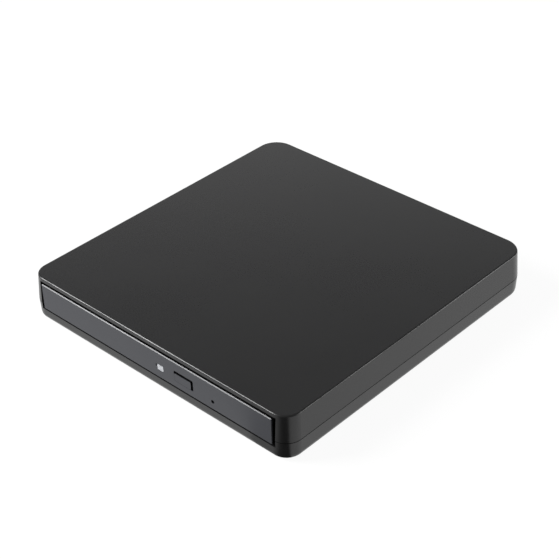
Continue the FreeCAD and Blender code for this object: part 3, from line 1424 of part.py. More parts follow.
SPINDLE_MOTOR_SIZES = {
    "motor_base": 10.4,  # spindle motor's base plate, radius
    "motor_base_thick": 0.5,  # spindle motor's base plate
    "bearing_outer": 3.0,  # spindle bearing, radius
    "bearing_top_gap": 0.4,  # spindle bearing to the rotor's top
    "shaft_radius": 1.25,  # spindle shaft
    "stator_outer": 9.6,  # stator, radius
    "stator_height": 1.8,  # stator
    "stator_lift": 0.3,  # stator above the base plate
    "stator_slot": 1.1,  # between the stator's poles
    "stator_core": 5.4,  # stator's core, radius
    "rotor_radius": 11.5,  # rotor
    "rotor_wall": 0.8,  # rotor's wall
    "rotor_lift": 0.4,  # rotor above the base plate
    "rotor_height": 2.8,  # rotor
    "rotor_top": 0.5,  # rotor's top
    "thrust_gap": 0.1,  # shaft's end to the frame
    "turntable_neck": 6.0,  # turntable's neck, radius
    "neck_height": 0.5,  # turntable above the rotor
    "turntable_height": 1.6,  # turntable
    "turntable_edge": 1.0,  # turntable's rim
    "turntable_hollow": 0.6,  # turntable's underside hollow, deep
    "pad_inner": 9.6,  # rubber pad, inner radius
    "pad_inset": 0.3,  # rubber pad inside the turntable's edge
    "pad_height": 0.6,  # rubber pad
    "hub_radius": 7.45,  # centring hub
    "hub_height": 2.5,  # centring hub, straight part
    "hub_nose": 0.7,  # centring hub's bevelled nose, high
    "hub_tip": 5.9,  # centring hub's tip, radius
    "ball_radius": 1.0,  # chucking balls
    "ball_proud": 0.17,  # chucking balls beyond the hub
    "ball_gap": 0.1,  # chucking balls to their pockets
    "ball_travel": 0.5,  # chucking balls' stroke
    "ball_rise": 1.7,  # chucking balls above the turntable
}
SPINDLE_MOTOR_PLACES = {
    "base_z": "frame_z + frame_floor",  # underside of the spindle motor
    "base_top_z": "base_z + motor_base_thick",  # top of the spindle motor's base plate
    "rotor_z": "base_top_z + rotor_lift",  # underside of the rotor
    "rotor_top_z": "rotor_z + rotor_height",  # top of the rotor
    "turntable_z": "rotor_top_z + neck_height",  # underside of the turntable
    "turntable_top_z": "turntable_z + turntable_height",  # top of the turntable
    "pad_top_z": "turntable_top_z + pad_height",  # top of the rubber pad, where a disc rests
    "hub_nose_z": "turntable_top_z + hub_height",  # top of the hub's straight part
    "ball_place": "hub_radius + ball_proud - ball_radius",  # chucking balls from the axis
    "ball_z": "turntable_top_z + ball_rise",  # chucking balls
}
define(SPINDLE_MOTOR_SIZES, SPINDLE_MOTOR_PLACES)
BALLS = 3
POLES = 9
SPINDLE = {"y": "spindle_y"}


def spindle_motor():
    """Base plate with the spindle's bearing, and the stator around it."""
    top = "rotor_top_z - rotor_top - bearing_top_gap"
    base = fuse("motor_base_solid", cylinder("motor_plate", "motor_base", "0", "0", ("base_z", "base_top_z")),
                cylinder("motor_bearing", "bearing_outer", "0", "0", ("base_z", top)))
    keep(
        cut(
            "motor_base_bored", base,
            cylinder("motor_bore", "shaft_radius + running_fit", "0", "0", ("base_z - over", "rotor_top_z")),
        ),
        "spindle_motor_base", **SPINDLE,
    )
    low = "base_top_z + stator_lift"
    core = ring(
        "stator_ring", "stator_outer", "bearing_outer", "0", "0", ("base_top_z", f"{low} + stator_height"),
    )
    undercut = ring(
        "stator_undercut", "stator_outer + rotor_wall", "stator_core", "0", "0", ("base_top_z", low),
    )
    slots = []
    for number in range(POLES):
        gap = block(
            f"stator_gap_{number}", ("stator_core", "stator_outer + rotor_wall"),
            ("-stator_slot / 2", "stator_slot / 2"), ("base_top_z", "rotor_top_z"),
        )
        slots.append(group(f"stator_gap_turned_{number}", [gap], turn=f"{number} * 360 / {POLES}"))
    keep(cut("stator", core, undercut, *slots), "stator", **SPINDLE)


def spindle():
    """What turns with a disc: rotor with its shaft, turntable, rubber pad, centring hub and balls."""
    bell = turned(
        "rotor_bell", ("0", "base_z + thrust_gap"), ("shaft_radius", "base_z + thrust_gap"),
        ("shaft_radius", "rotor_top_z - rotor_top"),
        ("rotor_radius - rotor_wall", "rotor_top_z - rotor_top"), ("rotor_radius - rotor_wall", "rotor_z"),
        ("rotor_radius", "rotor_z"), ("rotor_radius", "rotor_top_z"), ("0", "rotor_top_z"),
    )
    keep(bell, "rotor", **SPINDLE)
    plate = turned(
        "turntable_disc", ("0", "rotor_top_z"), ("turntable_neck", "rotor_top_z"),
        ("turntable_neck", "turntable_z + turntable_hollow"),
        ("turntable_radius - turntable_edge", "turntable_z + turntable_hollow"),
        ("turntable_radius - turntable_edge", "turntable_z"), ("turntable_radius", "turntable_z"),
        ("turntable_radius", "turntable_top_z"), ("0", "turntable_top_z"),
    )
    keep(plate, "turntable", **SPINDLE)
    keep(
        ring(
            "pad_ring", "turntable_radius - pad_inset", "pad_inner", "0", "0",
            ("turntable_top_z", "pad_top_z"),
        ),
        "turntable_pad", **SPINDLE,
    )
    cone = turned(
        "hub_cone", ("0", "turntable_top_z"), ("hub_radius", "turntable_top_z"),
        ("hub_radius", "hub_nose_z"), ("hub_tip", "hub_nose_z + hub_nose"), ("0", "hub_nose_z + hub_nose"),
    )
    pockets = []
    for number in range(BALLS):
        hole = cylinder(
            f"ball_pocket_{number}", "ball_radius + ball_gap",
            ("ball_place - ball_travel - ball_radius - ball_gap", "hub_radius + ball_radius"), "0",
            "ball_z",
        )
        turn = f"{number} * 360 / {BALLS}"
        pockets.append(group(f"ball_pocket_turned_{number}", [hole], turn=turn))
        ball = doc.addObject("Part::Sphere", f"ball_{number}")
        bind(ball, Radius="ball_radius", Placement__Base__x="ball_place", Placement__Base__z="ball_z")
        keep(ball, f"chuck_ball_{number + 1}", turn=turn, **SPINDLE)
    keep(cut("hub", cone, *pockets), "centring_hub", **SPINDLE)


SLED_SIZES = {
    "sled_back": 11.0,  # sled behind the lens
    "sled_front": 4.0,  # sled ahead of the lens
    "sled_left": 11.0,  # sled on the screw's side
    "sled_right": 13.0,  # sled on the plain side
    "sled_lift": 0.4,  # sled above the frame's underside
    "sled_height": 4.0,  # sled
    "bush_radius": 1.9,  # sled's rod bushes
    "bush_length": 4.0,  # sled's rod bushes
    "bush_inset": 1.5,  # outer rod bush behind the sled's front
    "arm_thick": 0.6,  # sled's arms over the screw
    "fork_length": 7.0,  # sled's fork along the rod
    "fork_overlap": 0.8,  # sled's fork beyond the rod's axis
    "fork_gap": 0.1,  # sled's fork to the rod
    "well_back": 7.5,  # lens well behind the lens
    "well_front": 3.4,  # lens well ahead of the lens
    "well_half": 6.0,  # lens well, half its width
    "well_depth": 3.0,  # lens well
    "yoke_thick": 0.6,  # magnet yoke
    "yoke_inset": 0.3,  # magnet yoke inside the well
    "magnet_thick": 1.2,  # magnets
    "magnet_height": 2.1,  # magnets
    "magnet_half": 2.6,  # magnets, half their length
    "holder_half": 3.5,  # lens holder, half its width
    "holder_back": 3.8,  # lens holder behind the lens
    "holder_front": 3.0,  # lens holder ahead of the lens
    "holder_lift": 0.8,  # lens holder above the yoke
    "holder_height": 2.5,  # lens holder
    "lens_collar": 2.7,  # lens seat, radius
    "collar_height": 0.3,  # lens seat
    "lens_radius": 2.1,  # lens
    "lens_bulge": 0.45,  # lens's dome
    "dome_outer": 1.8,  # outer ring on the lens's dome, radius
    "dome_outer_rise": 0.27,  # outer ring on the lens's dome
    "dome_inner": 1.05,  # inner ring on the lens's dome, radius
    "dome_inner_rise": 0.42,  # inner ring on the lens's dome
    "shield_sheet": 0.3,  # sled's sheet cover
    "shield_back": 7.3,  # sheet cover behind the lens
    "shield_half": 6.7,  # sheet cover, half its width
    "shield_gap": 0.4,  # sheet cover to the lens holder
    "nut_length": 6.0,  # screw follower along the screw
    "nut_half": 1.0,  # screw follower, half its width
    "nut_gap": 0.3,  # screw follower to the screw
    "nut_thick": 0.4,  # screw follower
}
SLED_PLACES = {
    "sled_z": "frame_z + sled_lift",  # underside of the sled
    "sled_top_z": "sled_z + sled_height",  # top of the sled
    "well_z": "sled_top_z - well_depth",  # floor of the lens well
    "yoke_top_z": "well_z + yoke_thick",  # top of the magnet yoke
    "holder_z": "yoke_top_z + holder_lift",  # underside of the lens holder
    "holder_top_z": "holder_z + holder_height",  # top of the lens holder
}
define(SLED_SIZES, SLED_PLACES)


def sled():
    """Laser sled on its two rods, with magnets, sheet cover and the follower on the lead screw."""
    back, front = "lens_start - sled_back", "lens_start + sled_front"
    body = block("sled_body", (back, front), ("-sled_right", "sled_left"), ("sled_z", "sled_top_z"))
    grown, bores = [body], []
    for name, start in (("in", back), ("out", f"{front} - bush_inset - bush_length")):
        end = f"{start} + bush_length"
        grown.append(cylinder(f"bush_{name}", "bush_radius", (start, end), "rod_left", "rod_z"))
        grown.append(
            block(
                f"arm_{name}", (start, end), ("sled_left - arm_thick", "rod_left"),
                ("sled_top_z - arm_thick", "sled_top_z"),
            )
        )
    bores.append(
        cylinder(
            "bush_bore", "rod_radius + running_fit", (f"{back} - fork_gap", f"{front} + fork_gap"),
            "rod_left", "rod_z",
        )
    )
    fork_mid = f"({back} + {front}) / 2"
    grown.append(block("fork", (f"{fork_mid} - fork_length / 2", f"{fork_mid} + fork_length / 2"),
                       ("-rod_right - fork_overlap", "-sled_right + arm_thick"), ("sled_z", "sled_top_z")))
    bores.append(
        block(
            "fork_slot", (f"{back} - fork_gap", f"{front} + fork_gap"),
            ("-rod_right - rod_radius - fork_overlap", "-rod_right + rod_radius + fork_gap"),
            ("rod_z - rod_radius - fork_gap", "rod_z + rod_radius + fork_gap"),
        )
    )
    bores.append(
        block(
            "lens_well", ("lens_start - well_back", "lens_start + well_front"), ("-well_half", "well_half"),
            ("well_z", "sled_top_z + fork_gap"),
        )
    )
    keep(cut("sled_solid", fuse("sled_grown", *grown), *bores), "sled", **TRAVERSE)
    yoke = block("yoke", ("lens_start - well_back + yoke_inset", "lens_start + well_front - yoke_inset"),
                 ("-well_half + yoke_inset", "well_half - yoke_inset"), ("well_z", "yoke_top_z"))
    magnets = [
        block(
            f"magnet_{side + 1}", ("lens_start - magnet_half", "lens_start + magnet_half"),
            across(side, "well_half - yoke_inset - magnet_thick", "well_half - yoke_inset"),
            ("yoke_top_z", "yoke_top_z + magnet_height"),
        )
        for side in (-1, 1)
    ]
    keep(fuse("yoke_solid", yoke, *magnets), "actuator_yoke", **TRAVERSE)
    sheet = block(
        "shield", ("lens_start - shield_back", front), ("-shield_half", "shield_half"),
        ("sled_top_z", "sled_top_z + shield_sheet"),
    )
    hole = block(
        "shield_hole", ("lens_start - holder_back - shield_gap", "lens_start + holder_front + shield_gap"),
        ("-holder_half - shield_gap", "holder_half + shield_gap"),
        ("sled_top_z - shield_sheet", "sled_top_z + shield_sheet + over"),
    )
    keep(cut("shield_solid", sheet, hole), "pickup_cover", **TRAVERSE)
    nut = block(
        "nut", (f"{fork_mid} - nut_length / 2", f"{fork_mid} + nut_length / 2"),
        ("lead_y - nut_half", "lead_y + nut_half"),
        ("lead_z - lead_radius - nut_gap - nut_thick", "lead_z - lead_radius - nut_gap"),
    )
    nut_arm = block(
        "nut_arm", (f"{fork_mid} - nut_length / 2", f"{fork_mid} + nut_length / 2"),
        ("sled_left", "lead_y"),
        ("lead_z - lead_radius - nut_gap - nut_thick", "lead_z - lead_radius - nut_gap"),
    )
    keep(fuse("nut_solid", nut, nut_arm), "screw_follower", **TRAVERSE)


def lens():
    """Lens holder, which rises and falls to focus, and the lens in it."""
    holder = fuse(
        "holder_solid",
        block(
            "holder_block", ("lens_start - holder_back", "lens_start + holder_front"),
            ("-holder_half", "holder_half"), ("holder_z", "holder_top_z"),
        ),
        cylinder(
            "holder_collar", "lens_collar", "lens_start", "0",
            ("holder_top_z", "holder_top_z + collar_height"),
        ),
    )
    seat = cylinder(
        "holder_seat", "lens_radius", "lens_start", "0",
        ("holder_z - collar_height", "holder_top_z + collar_height + over"),
    )
    keep(cut("holder", holder, seat), "lens_holder", **TRAVERSE)
    glass = turned(
        "lens_glass", ("0", "holder_z + collar_height"), ("lens_radius", "holder_z + collar_height"),
        ("lens_radius", "holder_top_z"), ("dome_outer", "holder_top_z + dome_outer_rise"),
        ("dome_inner", "holder_top_z + dome_inner_rise"), ("0", "holder_top_z + lens_bulge"),
        x="lens_start",
    )
    keep(glass, "objective_lens", **TRAVERSE)


def lead_screw():
    """Lead screw from the stepper motor to the frame's outer wall."""
    journal_in = cylinder(
        "journal_in", "lead_journal",
        ("lead_start - journal_length + running_fit", "lead_start + running_fit"), "lead_y", "lead_z",
    )
    core = cylinder(
        "lead_core", "lead_radius", ("lead_start", "rod_end - frame_wall - running_fit"), "lead_y",
        "lead_z",
    )
    journal_out = cylinder(
        "journal_out", "lead_journal", ("rod_end - frame_wall - over", "frame_front"), "lead_y", "lead_z",
    )
    keep(fuse("lead_solid", journal_in, core, journal_out), "lead_screw", **TRAVERSE)


# Tray and its front: bezel, eject button, lamp, switch board and latch

FRONT_SIZES = {
    "button_left": 13.4,  # eject button's left edge
    "button_width": 9.0,  # eject button across
    "button_low": 3.15,  # eject button above the drive's underside
    "button_height": 3.5,  # eject button
    "button_proud": 0.05,  # eject button ahead of the bezel
    "button_gap": 0.15,  # eject button to the bezel, left and below
    "button_wide_gap": 1.2,  # eject button to the bezel, right and above
    "button_flange": 0.6,  # eject button's flange
    "button_flange_out": 1.5,  # eject button's flange beyond its cap
    "button_travel": 0.6,  # eject button's stroke
    "button_round": 0.5,  # eject button's corners
    "stem_drop": 0.5,  # eject button's stem below its middle
    "stem_width": 3.0,  # eject button's stem across
    "stem_height": 1.8,  # eject button's stem
    "pocket_margin": 0.4,  # pocket round the button's flange
    "pocket_depth": 1.9,  # pocket behind the bezel
    "lamp_left": 4.1,  # lamp window's left edge
    "lamp_width": 3.2,  # lamp window across
    "lamp_low": 3.8,  # lamp window above the drive's underside
    "lamp_height": 2.45,  # lamp window
    "lamp_inset": 0.05,  # lamp window behind the bezel's face
    "lamp_gap": 0.12,  # lamp window to the bezel
    "slit_aside": 0.25,  # slit beside the lamp window
    "slit_width": 0.45,  # slit beside the lamp window
    "slit_height": 1.2,  # slit beside the lamp window
    "slit_depth": 1.0,  # slit beside the lamp window
    "release_x": 33.9,  # emergency hole
    "release_rise": 3.75,  # emergency hole above the drive's underside
    "release_radius": 0.8,  # emergency hole
    "bezel_round": 0.5,  # bezel's corners
    "bezel_bevel": 0.3,  # bevel round the bezel's face
    "front_board_left": -4.0,  # front board's left edge
    "front_board_right": 30.0,  # front board's right edge
    "front_board_depth": 14.0,  # front board front to back
    "front_board_gap": 0.2,  # front board to the front bar
    "front_board_lift": 0.75,  # front board above the pan's floor
    "front_board_thick": 0.8,  # front board
    "front_post_radius": 2.0,  # front board's posts
    "front_post_inset": 3.5,  # front board's posts from its edges
    "switch_width": 4.0,  # eject switch across
    "switch_depth": 3.2,  # eject switch front to back
    "switch_height": 3.8,  # eject switch
    "switch_gap": 0.15,  # pressed stem to the switch
    "switch_setback": 0.1,  # switch behind the front board's edge
    "led_width": 1.8,  # lamp across
    "led_depth": 1.4,  # lamp front to back
    "led_height": 3.2,  # lamp
}
FRONT_PLACES = {
    "button_right": "button_left + button_width",  # eject button's right edge
    "button_z": "drive_z + button_low",  # eject button's lower edge
    "button_mid_x": "button_left + button_width / 2",  # eject button's middle
    "stem_mid_z": "button_z + button_height / 2 - stem_drop",  # middle of the eject button's stem
    "lamp_z": "drive_z + lamp_low",  # lamp window's lower edge
    "lamp_mid_x": "lamp_left + lamp_width / 2",  # lamp window's middle
    "slit_right": "lamp_left - lamp_gap - slit_aside",  # right edge of the slit beside the lamp window
    "release_z": "drive_z + release_rise",  # emergency hole
    "front_board_y": "bar_back_y + front_board_gap",  # front board's front edge
    "front_board_z": "pan_floor_z + front_board_lift",  # underside of the front board
    "front_board_top_z": "front_board_z + front_board_thick",  # top of the front board
    "switch_y": "front_board_y + switch_setback",  # front of the eject switch
    "stem_end_y": "switch_y - switch_gap - button_travel",  # end of the eject button's stem
}
define(FRONT_SIZES, FRONT_PLACES)

LATCH_SIZES = {
    "pivot_radius": 0.9,  # latch pivot
    "pivot_head": 1.8,  # latch pivot's head, radius
    "pivot_head_height": 0.5,  # latch pivot's head
    "pivot_shoulder": 1.5,  # latch pivot's shoulder, radius
    "hook_lift": 2.45,  # latch hook above the pan's floor
    "hook_thick": 1.2,  # latch hook
    "hook_play": 0.1,  # latch hook on its pivot, up and down
    "hook_boss": 2.2,  # latch hook's boss, radius
    "hook_swing": 20.0,  # latch hook from released to latched
    "hook_clear": 0.3,  # latched hook to its pin
    "hook_arm": 2.0,  # latch hook's arm
    "hook_nose": 1.7,  # latch hook's nose
    "hook_tail": 12.5,  # latch hook's release tail
    "hook_tail_width": 1.4,  # latch hook's release tail
    "armature_reach": 5.1,  # latch hook's iron tab
    "armature_start": 4.5,  # latch hook's iron tab from the pivot
    "armature_length": 5.0,  # latch hook's iron tab
    "magnet_side": 5.0,  # latch magnet beside the pivot
    "magnet_width": 5.6,  # latch magnet
    "magnet_setback": 6.0,  # latch magnet behind the pivot
    "magnet_length": 9.0,  # latch magnet
}
LATCH_PLACES = {
    "hook_z": "pan_floor_z + hook_lift",  # underside of the latch hook
    "hook_top_z": "hook_z + hook_thick",  # top of the latch hook
    "magnet_left": "pivot_x + magnet_side",  # latch magnet's near face
    "magnet_front": "pivot_y + magnet_setback",  # latch magnet's front
}
define(LATCH_SIZES, LATCH_PLACES)
FRONT_POSTS = [
    ("front_board_left + front_post_inset", "front_board_y + front_board_depth - front_post_inset"),
    ("front_board_right - front_post_inset", "front_board_y + front_board_depth - front_post_inset"),
]


def tray():
    """Disc tray: plate with disc recesses and a window, skirts with tongues, and a front bar."""
    plate = block(
        "tray_plate", ("-tray_half", "tray_half"), ("bezel_back_y", "tray_back_y"),
        ("tray_plate_z", "tray_top_z"),
    )
    grown = [
        plate,
        block(
            "tray_slab", ("-skirt_inner", "skirt_inner"), ("bezel_back_y", "tray_back_y"),
            ("slab_z", "tray_plate_z"),
        ),
    ]
    for side in (-1, 1):
        grown.append(
            block(
                f"skirt_{side + 1}", across(side, "skirt_inner", "skirt_outer"),
                ("slide_front_y", "slide_back_y"), ("slide_mid_z - tongue_height / 2", "tray_plate_z"),
            )
        )
        grown.append(
            block(
                f"tongue_{side + 1}", across(side, "skirt_inner", "tongue_outer"),
                ("slide_front_y", "slide_back_y"),
                ("slide_mid_z - tongue_height / 2", "slide_mid_z + tongue_height / 2"),
            )
        )
    grown.append(
        block(
            "front_bar", ("-tray_half + front_bar_inset", "tray_half - front_bar_inset"),
            ("bezel_back_y", "bar_back_y"), ("bar_low_z", "tray_plate_z"),
        )
    )
    for number, (x, y) in enumerate(FRONT_POSTS):
        grown.append(
            cylinder(
                f"front_post_{number}", "front_post_radius", x, y, ("front_board_top_z", "tray_plate_z"),
            )
        )
    grown.append(
        block(
            "ejector_tab", ("-ejector_x - tab_width / 2", "-ejector_x + tab_width / 2"),
            ("ejector_front - tab_gap - tab_thick", "ejector_front - tab_gap"),
            ("slab_z - tab_height", "tray_plate_z"),
        )
    )
    posts = [
        cylinder(f"isolator_post_{number}", "isolator_post", u, v, ("isolator_top_z", "tray_plate_z"))
        for number, (u, v) in enumerate(ISOLATORS)
    ]
    post_set = group("isolator_posts", posts, **TRAVERSE)
    holes = [
        cylinder(
            f"post_hole_{number}", "isolator_screw_shank + screw_fit", u, v,
            ("isolator_z", "isolator_top_z + post_hole_extra"),
        )
        for number, (u, v) in enumerate(ISOLATORS)
    ]
    window = Body("tray_window").pad(
        "z", raised_plan("window_gap"), "slab_z - slab_drop", "tray_top_z + slab_drop",
    ).item
    opened = group("traverse_openings", [window, *holes], **TRAVERSE)
    taken = [
        cylinder(
            "large_recess", "recess_radius", "0", "spindle_y", ("recess_z", "tray_top_z + recess_depth"),
        ),
        cylinder(
            "small_recess", "small_recess_radius", "0", "spindle_y",
            ("recess_z - small_recess_depth", "tray_top_z"),
        ),
        opened,
        block(
            "button_pocket",
            (
                "button_left - button_flange_out - pocket_margin",
                "button_right + button_flange_out + pocket_margin",
            ),
            ("bezel_back_y - pocket_margin", "bezel_back_y + pocket_depth"),
            (
                "button_z - button_flange_out - pocket_margin",
                "button_z + button_height + button_flange_out + pocket_margin",
            ),
        ),
        block(
            "stem_way",
            (
                "button_mid_x - stem_width / 2 - pocket_margin",
                "button_mid_x + stem_width / 2 + pocket_margin",
            ),
            ("bezel_back_y", "bar_back_y + pocket_margin"),
            (
                "stem_mid_z - stem_height / 2 - pocket_margin",
                "stem_mid_z + stem_height / 2 + pocket_margin",
            ),
        ),
        block(
            "lamp_way", ("lamp_left - lamp_gap", "lamp_left + lamp_width + lamp_gap"),
            ("bezel_back_y - lamp_gap", "bar_back_y + lamp_gap"),
            ("lamp_z - lamp_gap", "lamp_z + lamp_height + lamp_gap"),
        ),
        cylinder(
            "release_way", "release_radius + lamp_gap", "release_x",
            ("bezel_back_y - lamp_gap", "bar_back_y + lamp_gap"), "release_z",
        ),
        cylinder(
            "pivot_way", "pivot_radius + screw_fit", "pivot_x", "pivot_y",
            ("slab_z - slab_drop", "recess_z - slab_drop"),
        ),
    ]
    keep(cut("tray_solid", fuse("tray_grown", *grown, post_set), *taken), "tray")


def runs_back(edge):
    """Whether an edge of the bezel or the eject button runs front to back."""
    return edge.BoundBox.YLength > value("bezel_thick") / 2


def bezel():
    """Drive's front panel with openings for lamp, eject button and emergency release."""
    front = "bezel_face_y"
    panel = Body("bezel_panel").pad(
        "y", rectangle(("-bezel_half", "bezel_half"), ("drive_z", "drive_top_z")), front, "bezel_back_y",
    )

    def rim(edge):
        return edge.BoundBox.YMax < value("bezel_face_y") + value("screw_fit")

    panel.fillet("bezel_round", runs_back).chamfer("bezel_bevel", rim)
    back = "bezel_back_y + lamp_gap"
    start = "bezel_face_y - lamp_gap"
    across = ("button_left - button_gap", "button_right + button_wide_gap")
    up = ("button_z - button_gap", "button_z + button_height + button_wide_gap")
    button = Body("bezel_button_hole").pad("y", rectangle(across, up), start, back)
    button.fillet("button_round + button_gap / 2", runs_back)
    lamp = block(
        "bezel_lamp_hole", ("lamp_left - lamp_gap", "lamp_left + lamp_width + lamp_gap"), (start, back),
        ("lamp_z - lamp_gap", "lamp_z + lamp_height + lamp_gap"),
    )
    slit = block(
        "bezel_slit", ("slit_right - slit_width", "slit_right"), (start, "bezel_face_y + slit_depth"),
        ("lamp_z + lamp_height - slit_height", "lamp_z + lamp_height"),
    )
    release = cylinder("bezel_release", "release_radius", "release_x", (start, back), "release_z")
    keep(cut("bezel_solid", panel.item, button.item, lamp, slit, release), "bezel")
    keep(
        block(
            "lamp_pipe", ("lamp_left", "lamp_left + lamp_width"),
            ("bezel_face_y + lamp_inset", "front_board_y - lamp_gap"), ("lamp_z", "lamp_z + lamp_height"),
        ),
        "lamp_window",
    )


def eject_button():
    """Eject button: cap in the bezel, retaining flange behind it and a stem to the switch."""
    cap = Body("button_cap").pad(
        "y", rectangle(("button_left", "button_right"), ("button_z", "button_z + button_height")),
        "bezel_face_y - button_proud", "bezel_back_y + screw_fit + button_flange / 2",
    )
    cap.fillet("button_round", runs_back)
    flange = block(
        "button_flange_plate", ("button_left - button_flange_out", "button_right + button_flange_out"),
        ("bezel_back_y + screw_fit", "bezel_back_y + screw_fit + button_flange"),
        ("button_z - button_flange_out", "button_z + button_height + button_flange_out"),
    )
    stem = block(
        "button_stem", ("button_mid_x - stem_width / 2", "button_mid_x + stem_width / 2"),
        ("bezel_back_y + screw_fit", "stem_end_y"),
        ("stem_mid_z - stem_height / 2", "stem_mid_z + stem_height / 2"),
    )
    keep(fuse("button", cap.item, flange, stem), "eject_button")


def front_board():
    """Small board behind the front bar with the eject switch and the lamp."""
    keep(
        block(
            "front_board_sheet", ("front_board_left", "front_board_right"),
            ("front_board_y", "front_board_y + front_board_depth"), ("front_board_z", "front_board_top_z"),
        ),
        "front_board",
    )
    body = block(
        "switch_body", ("button_mid_x - switch_width / 2", "button_mid_x + switch_width / 2"),
        ("switch_y", "switch_y + switch_depth"), ("front_board_top_z", "front_board_top_z + switch_height"),
    )
    keep(body, "eject_switch")
    keep(
        block(
            "led_body", ("lamp_mid_x - led_width / 2", "lamp_mid_x + led_width / 2"),
            ("front_board_y", "front_board_y + led_depth"),
            ("front_board_top_z", "front_board_top_z + led_height"),
        ),
        "status_led",
    )


def latch():
    """Latch on the tray: a pivot, the hook drawn in its latched place and turned back, and a magnet."""
    stem = cylinder(
        "pivot_stem", "pivot_radius", "pivot_x", "pivot_y",
        ("hook_z - hook_play - pivot_head_height", "slab_z + slab_drop"),
    )
    head = cylinder(
        "pivot_cap", "pivot_head", "pivot_x", "pivot_y",
        ("hook_z - hook_play - pivot_head_height", "hook_z - hook_play"),
    )
    shoulder = cylinder(
        "pivot_shoulder_ring", "pivot_shoulder", "pivot_x", "pivot_y", ("hook_top_z + hook_play", "slab_z"),
    )
    keep(fuse("pivot", stem, head, shoulder), "latch_pivot")
    span = ("hook_z", "hook_top_z")
    arm_left = "-pin_reach_x + latch_pin_radius + hook_clear"
    nose_y = "pin_reach_y + latch_pin_radius + hook_clear"
    grown = [
        cylinder("hook_eye", "hook_boss", "0", "0", span),
        block("hook_arm_bar", (arm_left, f"{arm_left} + hook_arm"), ("0", f"{nose_y} + hook_nose"), span),
        block("hook_arm_root", (arm_left, "0"), ("-hook_tail_width / 2", "hook_arm"), span),
        block(
            "hook_nose_bar", ("-pin_reach_x - latch_pin_radius", f"{arm_left} + hook_arm"),
            (nose_y, f"{nose_y} + hook_nose"), span,
        ),
        block(
            "hook_tail_bar", ("-hook_tail", "0"),
            ("-hook_tail_width / 2 - hook_tail_width", "-hook_tail_width / 2"), span,
        ),
        block(
            "hook_armature", (f"{arm_left} + hook_arm / 2", f"{arm_left} + hook_arm / 2 + armature_reach"),
            ("armature_start", "armature_start + armature_length"), span,
        ),
    ]
    hook = cut(
        "hook_latched", fuse("hook_grown", *grown),
        cylinder(
            "hook_bore", "pivot_radius + running_fit", "0", "0",
            ("hook_z - hook_play", "hook_top_z + hook_play"),
        ),
    )
    keep(hook, "latch_hook", x="pivot_x", y="pivot_y", turn="-hook_swing")
    keep(
        block(
            "magnet_block", ("magnet_left", "magnet_left + magnet_width"),
            ("magnet_front", "magnet_front + magnet_length"), ("hook_z", "slab_z"),
        ),
        "latch_magnet",
    )


for build in (
    top_cover, bottom_cover, case_hardware, drive_pan, drive_lid, slides, main_board, ribbon_cable,
    bridge_board, latch_pin, ejector, traverse_frame, traverse_cover, traverse_hardware, spindle_motor,
    spindle, sled, lens, lead_screw, tray, bezel, eject_button, front_board, latch,
):
    build()
doc.recompute()

for item in doc.Objects:
    if "Invalid" in item.State or "Error" in item.State:
        raise RuntimeError(f"{item.Name} failed: {item.State}")
os.makedirs("parts", exist_ok=True)
for label, item in pieces.items():
    shape = item.Shape
    if shape.isNull() or not shape.isValid() or not shape.Solids:
        raise RuntimeError(f"{label} has no valid solid")
    shape.exportStep(f"parts/{label}.step")
    print(f"{label}: {len(shape.Solids)} solids, {shape.Volume:.1f} mm3")
print(f"{len(pieces)} pieces")
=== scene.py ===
"""A slim external disc drive: its finishes, small parts, floor, light and camera.

Lengths are in metres, +Z is up and the drive's front faces -Y. The pieces made here are those that
bend or are too fine for the solids: the ribbon cable, the ejector's wound spring, the lead screw's
thread, the film under the tray, the inlet's contacts, and the leads and end caps on the boards.
"""

from __future__ import annotations

import logging
import math
from collections.abc import Iterable, Sequence
from dataclasses import dataclass
from enum import Enum

import bmesh
import bpy
from mathutils import Matrix, Vector

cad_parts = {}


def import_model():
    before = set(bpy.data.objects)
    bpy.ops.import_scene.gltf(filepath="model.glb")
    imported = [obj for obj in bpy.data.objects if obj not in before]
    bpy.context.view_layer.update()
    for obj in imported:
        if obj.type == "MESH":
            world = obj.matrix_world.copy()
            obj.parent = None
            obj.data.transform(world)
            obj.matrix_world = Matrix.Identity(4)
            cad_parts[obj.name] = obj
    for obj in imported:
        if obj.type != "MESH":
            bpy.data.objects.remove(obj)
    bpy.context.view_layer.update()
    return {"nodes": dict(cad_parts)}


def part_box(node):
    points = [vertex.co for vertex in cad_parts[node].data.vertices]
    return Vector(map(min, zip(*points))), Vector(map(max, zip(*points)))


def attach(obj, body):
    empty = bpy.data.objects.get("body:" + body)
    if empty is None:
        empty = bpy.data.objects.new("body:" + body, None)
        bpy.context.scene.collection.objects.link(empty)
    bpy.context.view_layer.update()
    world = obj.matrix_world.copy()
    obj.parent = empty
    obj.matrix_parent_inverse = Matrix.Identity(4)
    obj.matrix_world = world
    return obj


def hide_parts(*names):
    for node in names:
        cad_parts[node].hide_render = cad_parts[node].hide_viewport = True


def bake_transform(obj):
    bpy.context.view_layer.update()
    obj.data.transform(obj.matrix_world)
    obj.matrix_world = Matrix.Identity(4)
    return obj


LOG = logging.getLogger("disc_drive")
MM = 0.001

Colour = tuple[float, float, float]
Point = tuple[float, float, float]
Ends = tuple[Vector, Vector]


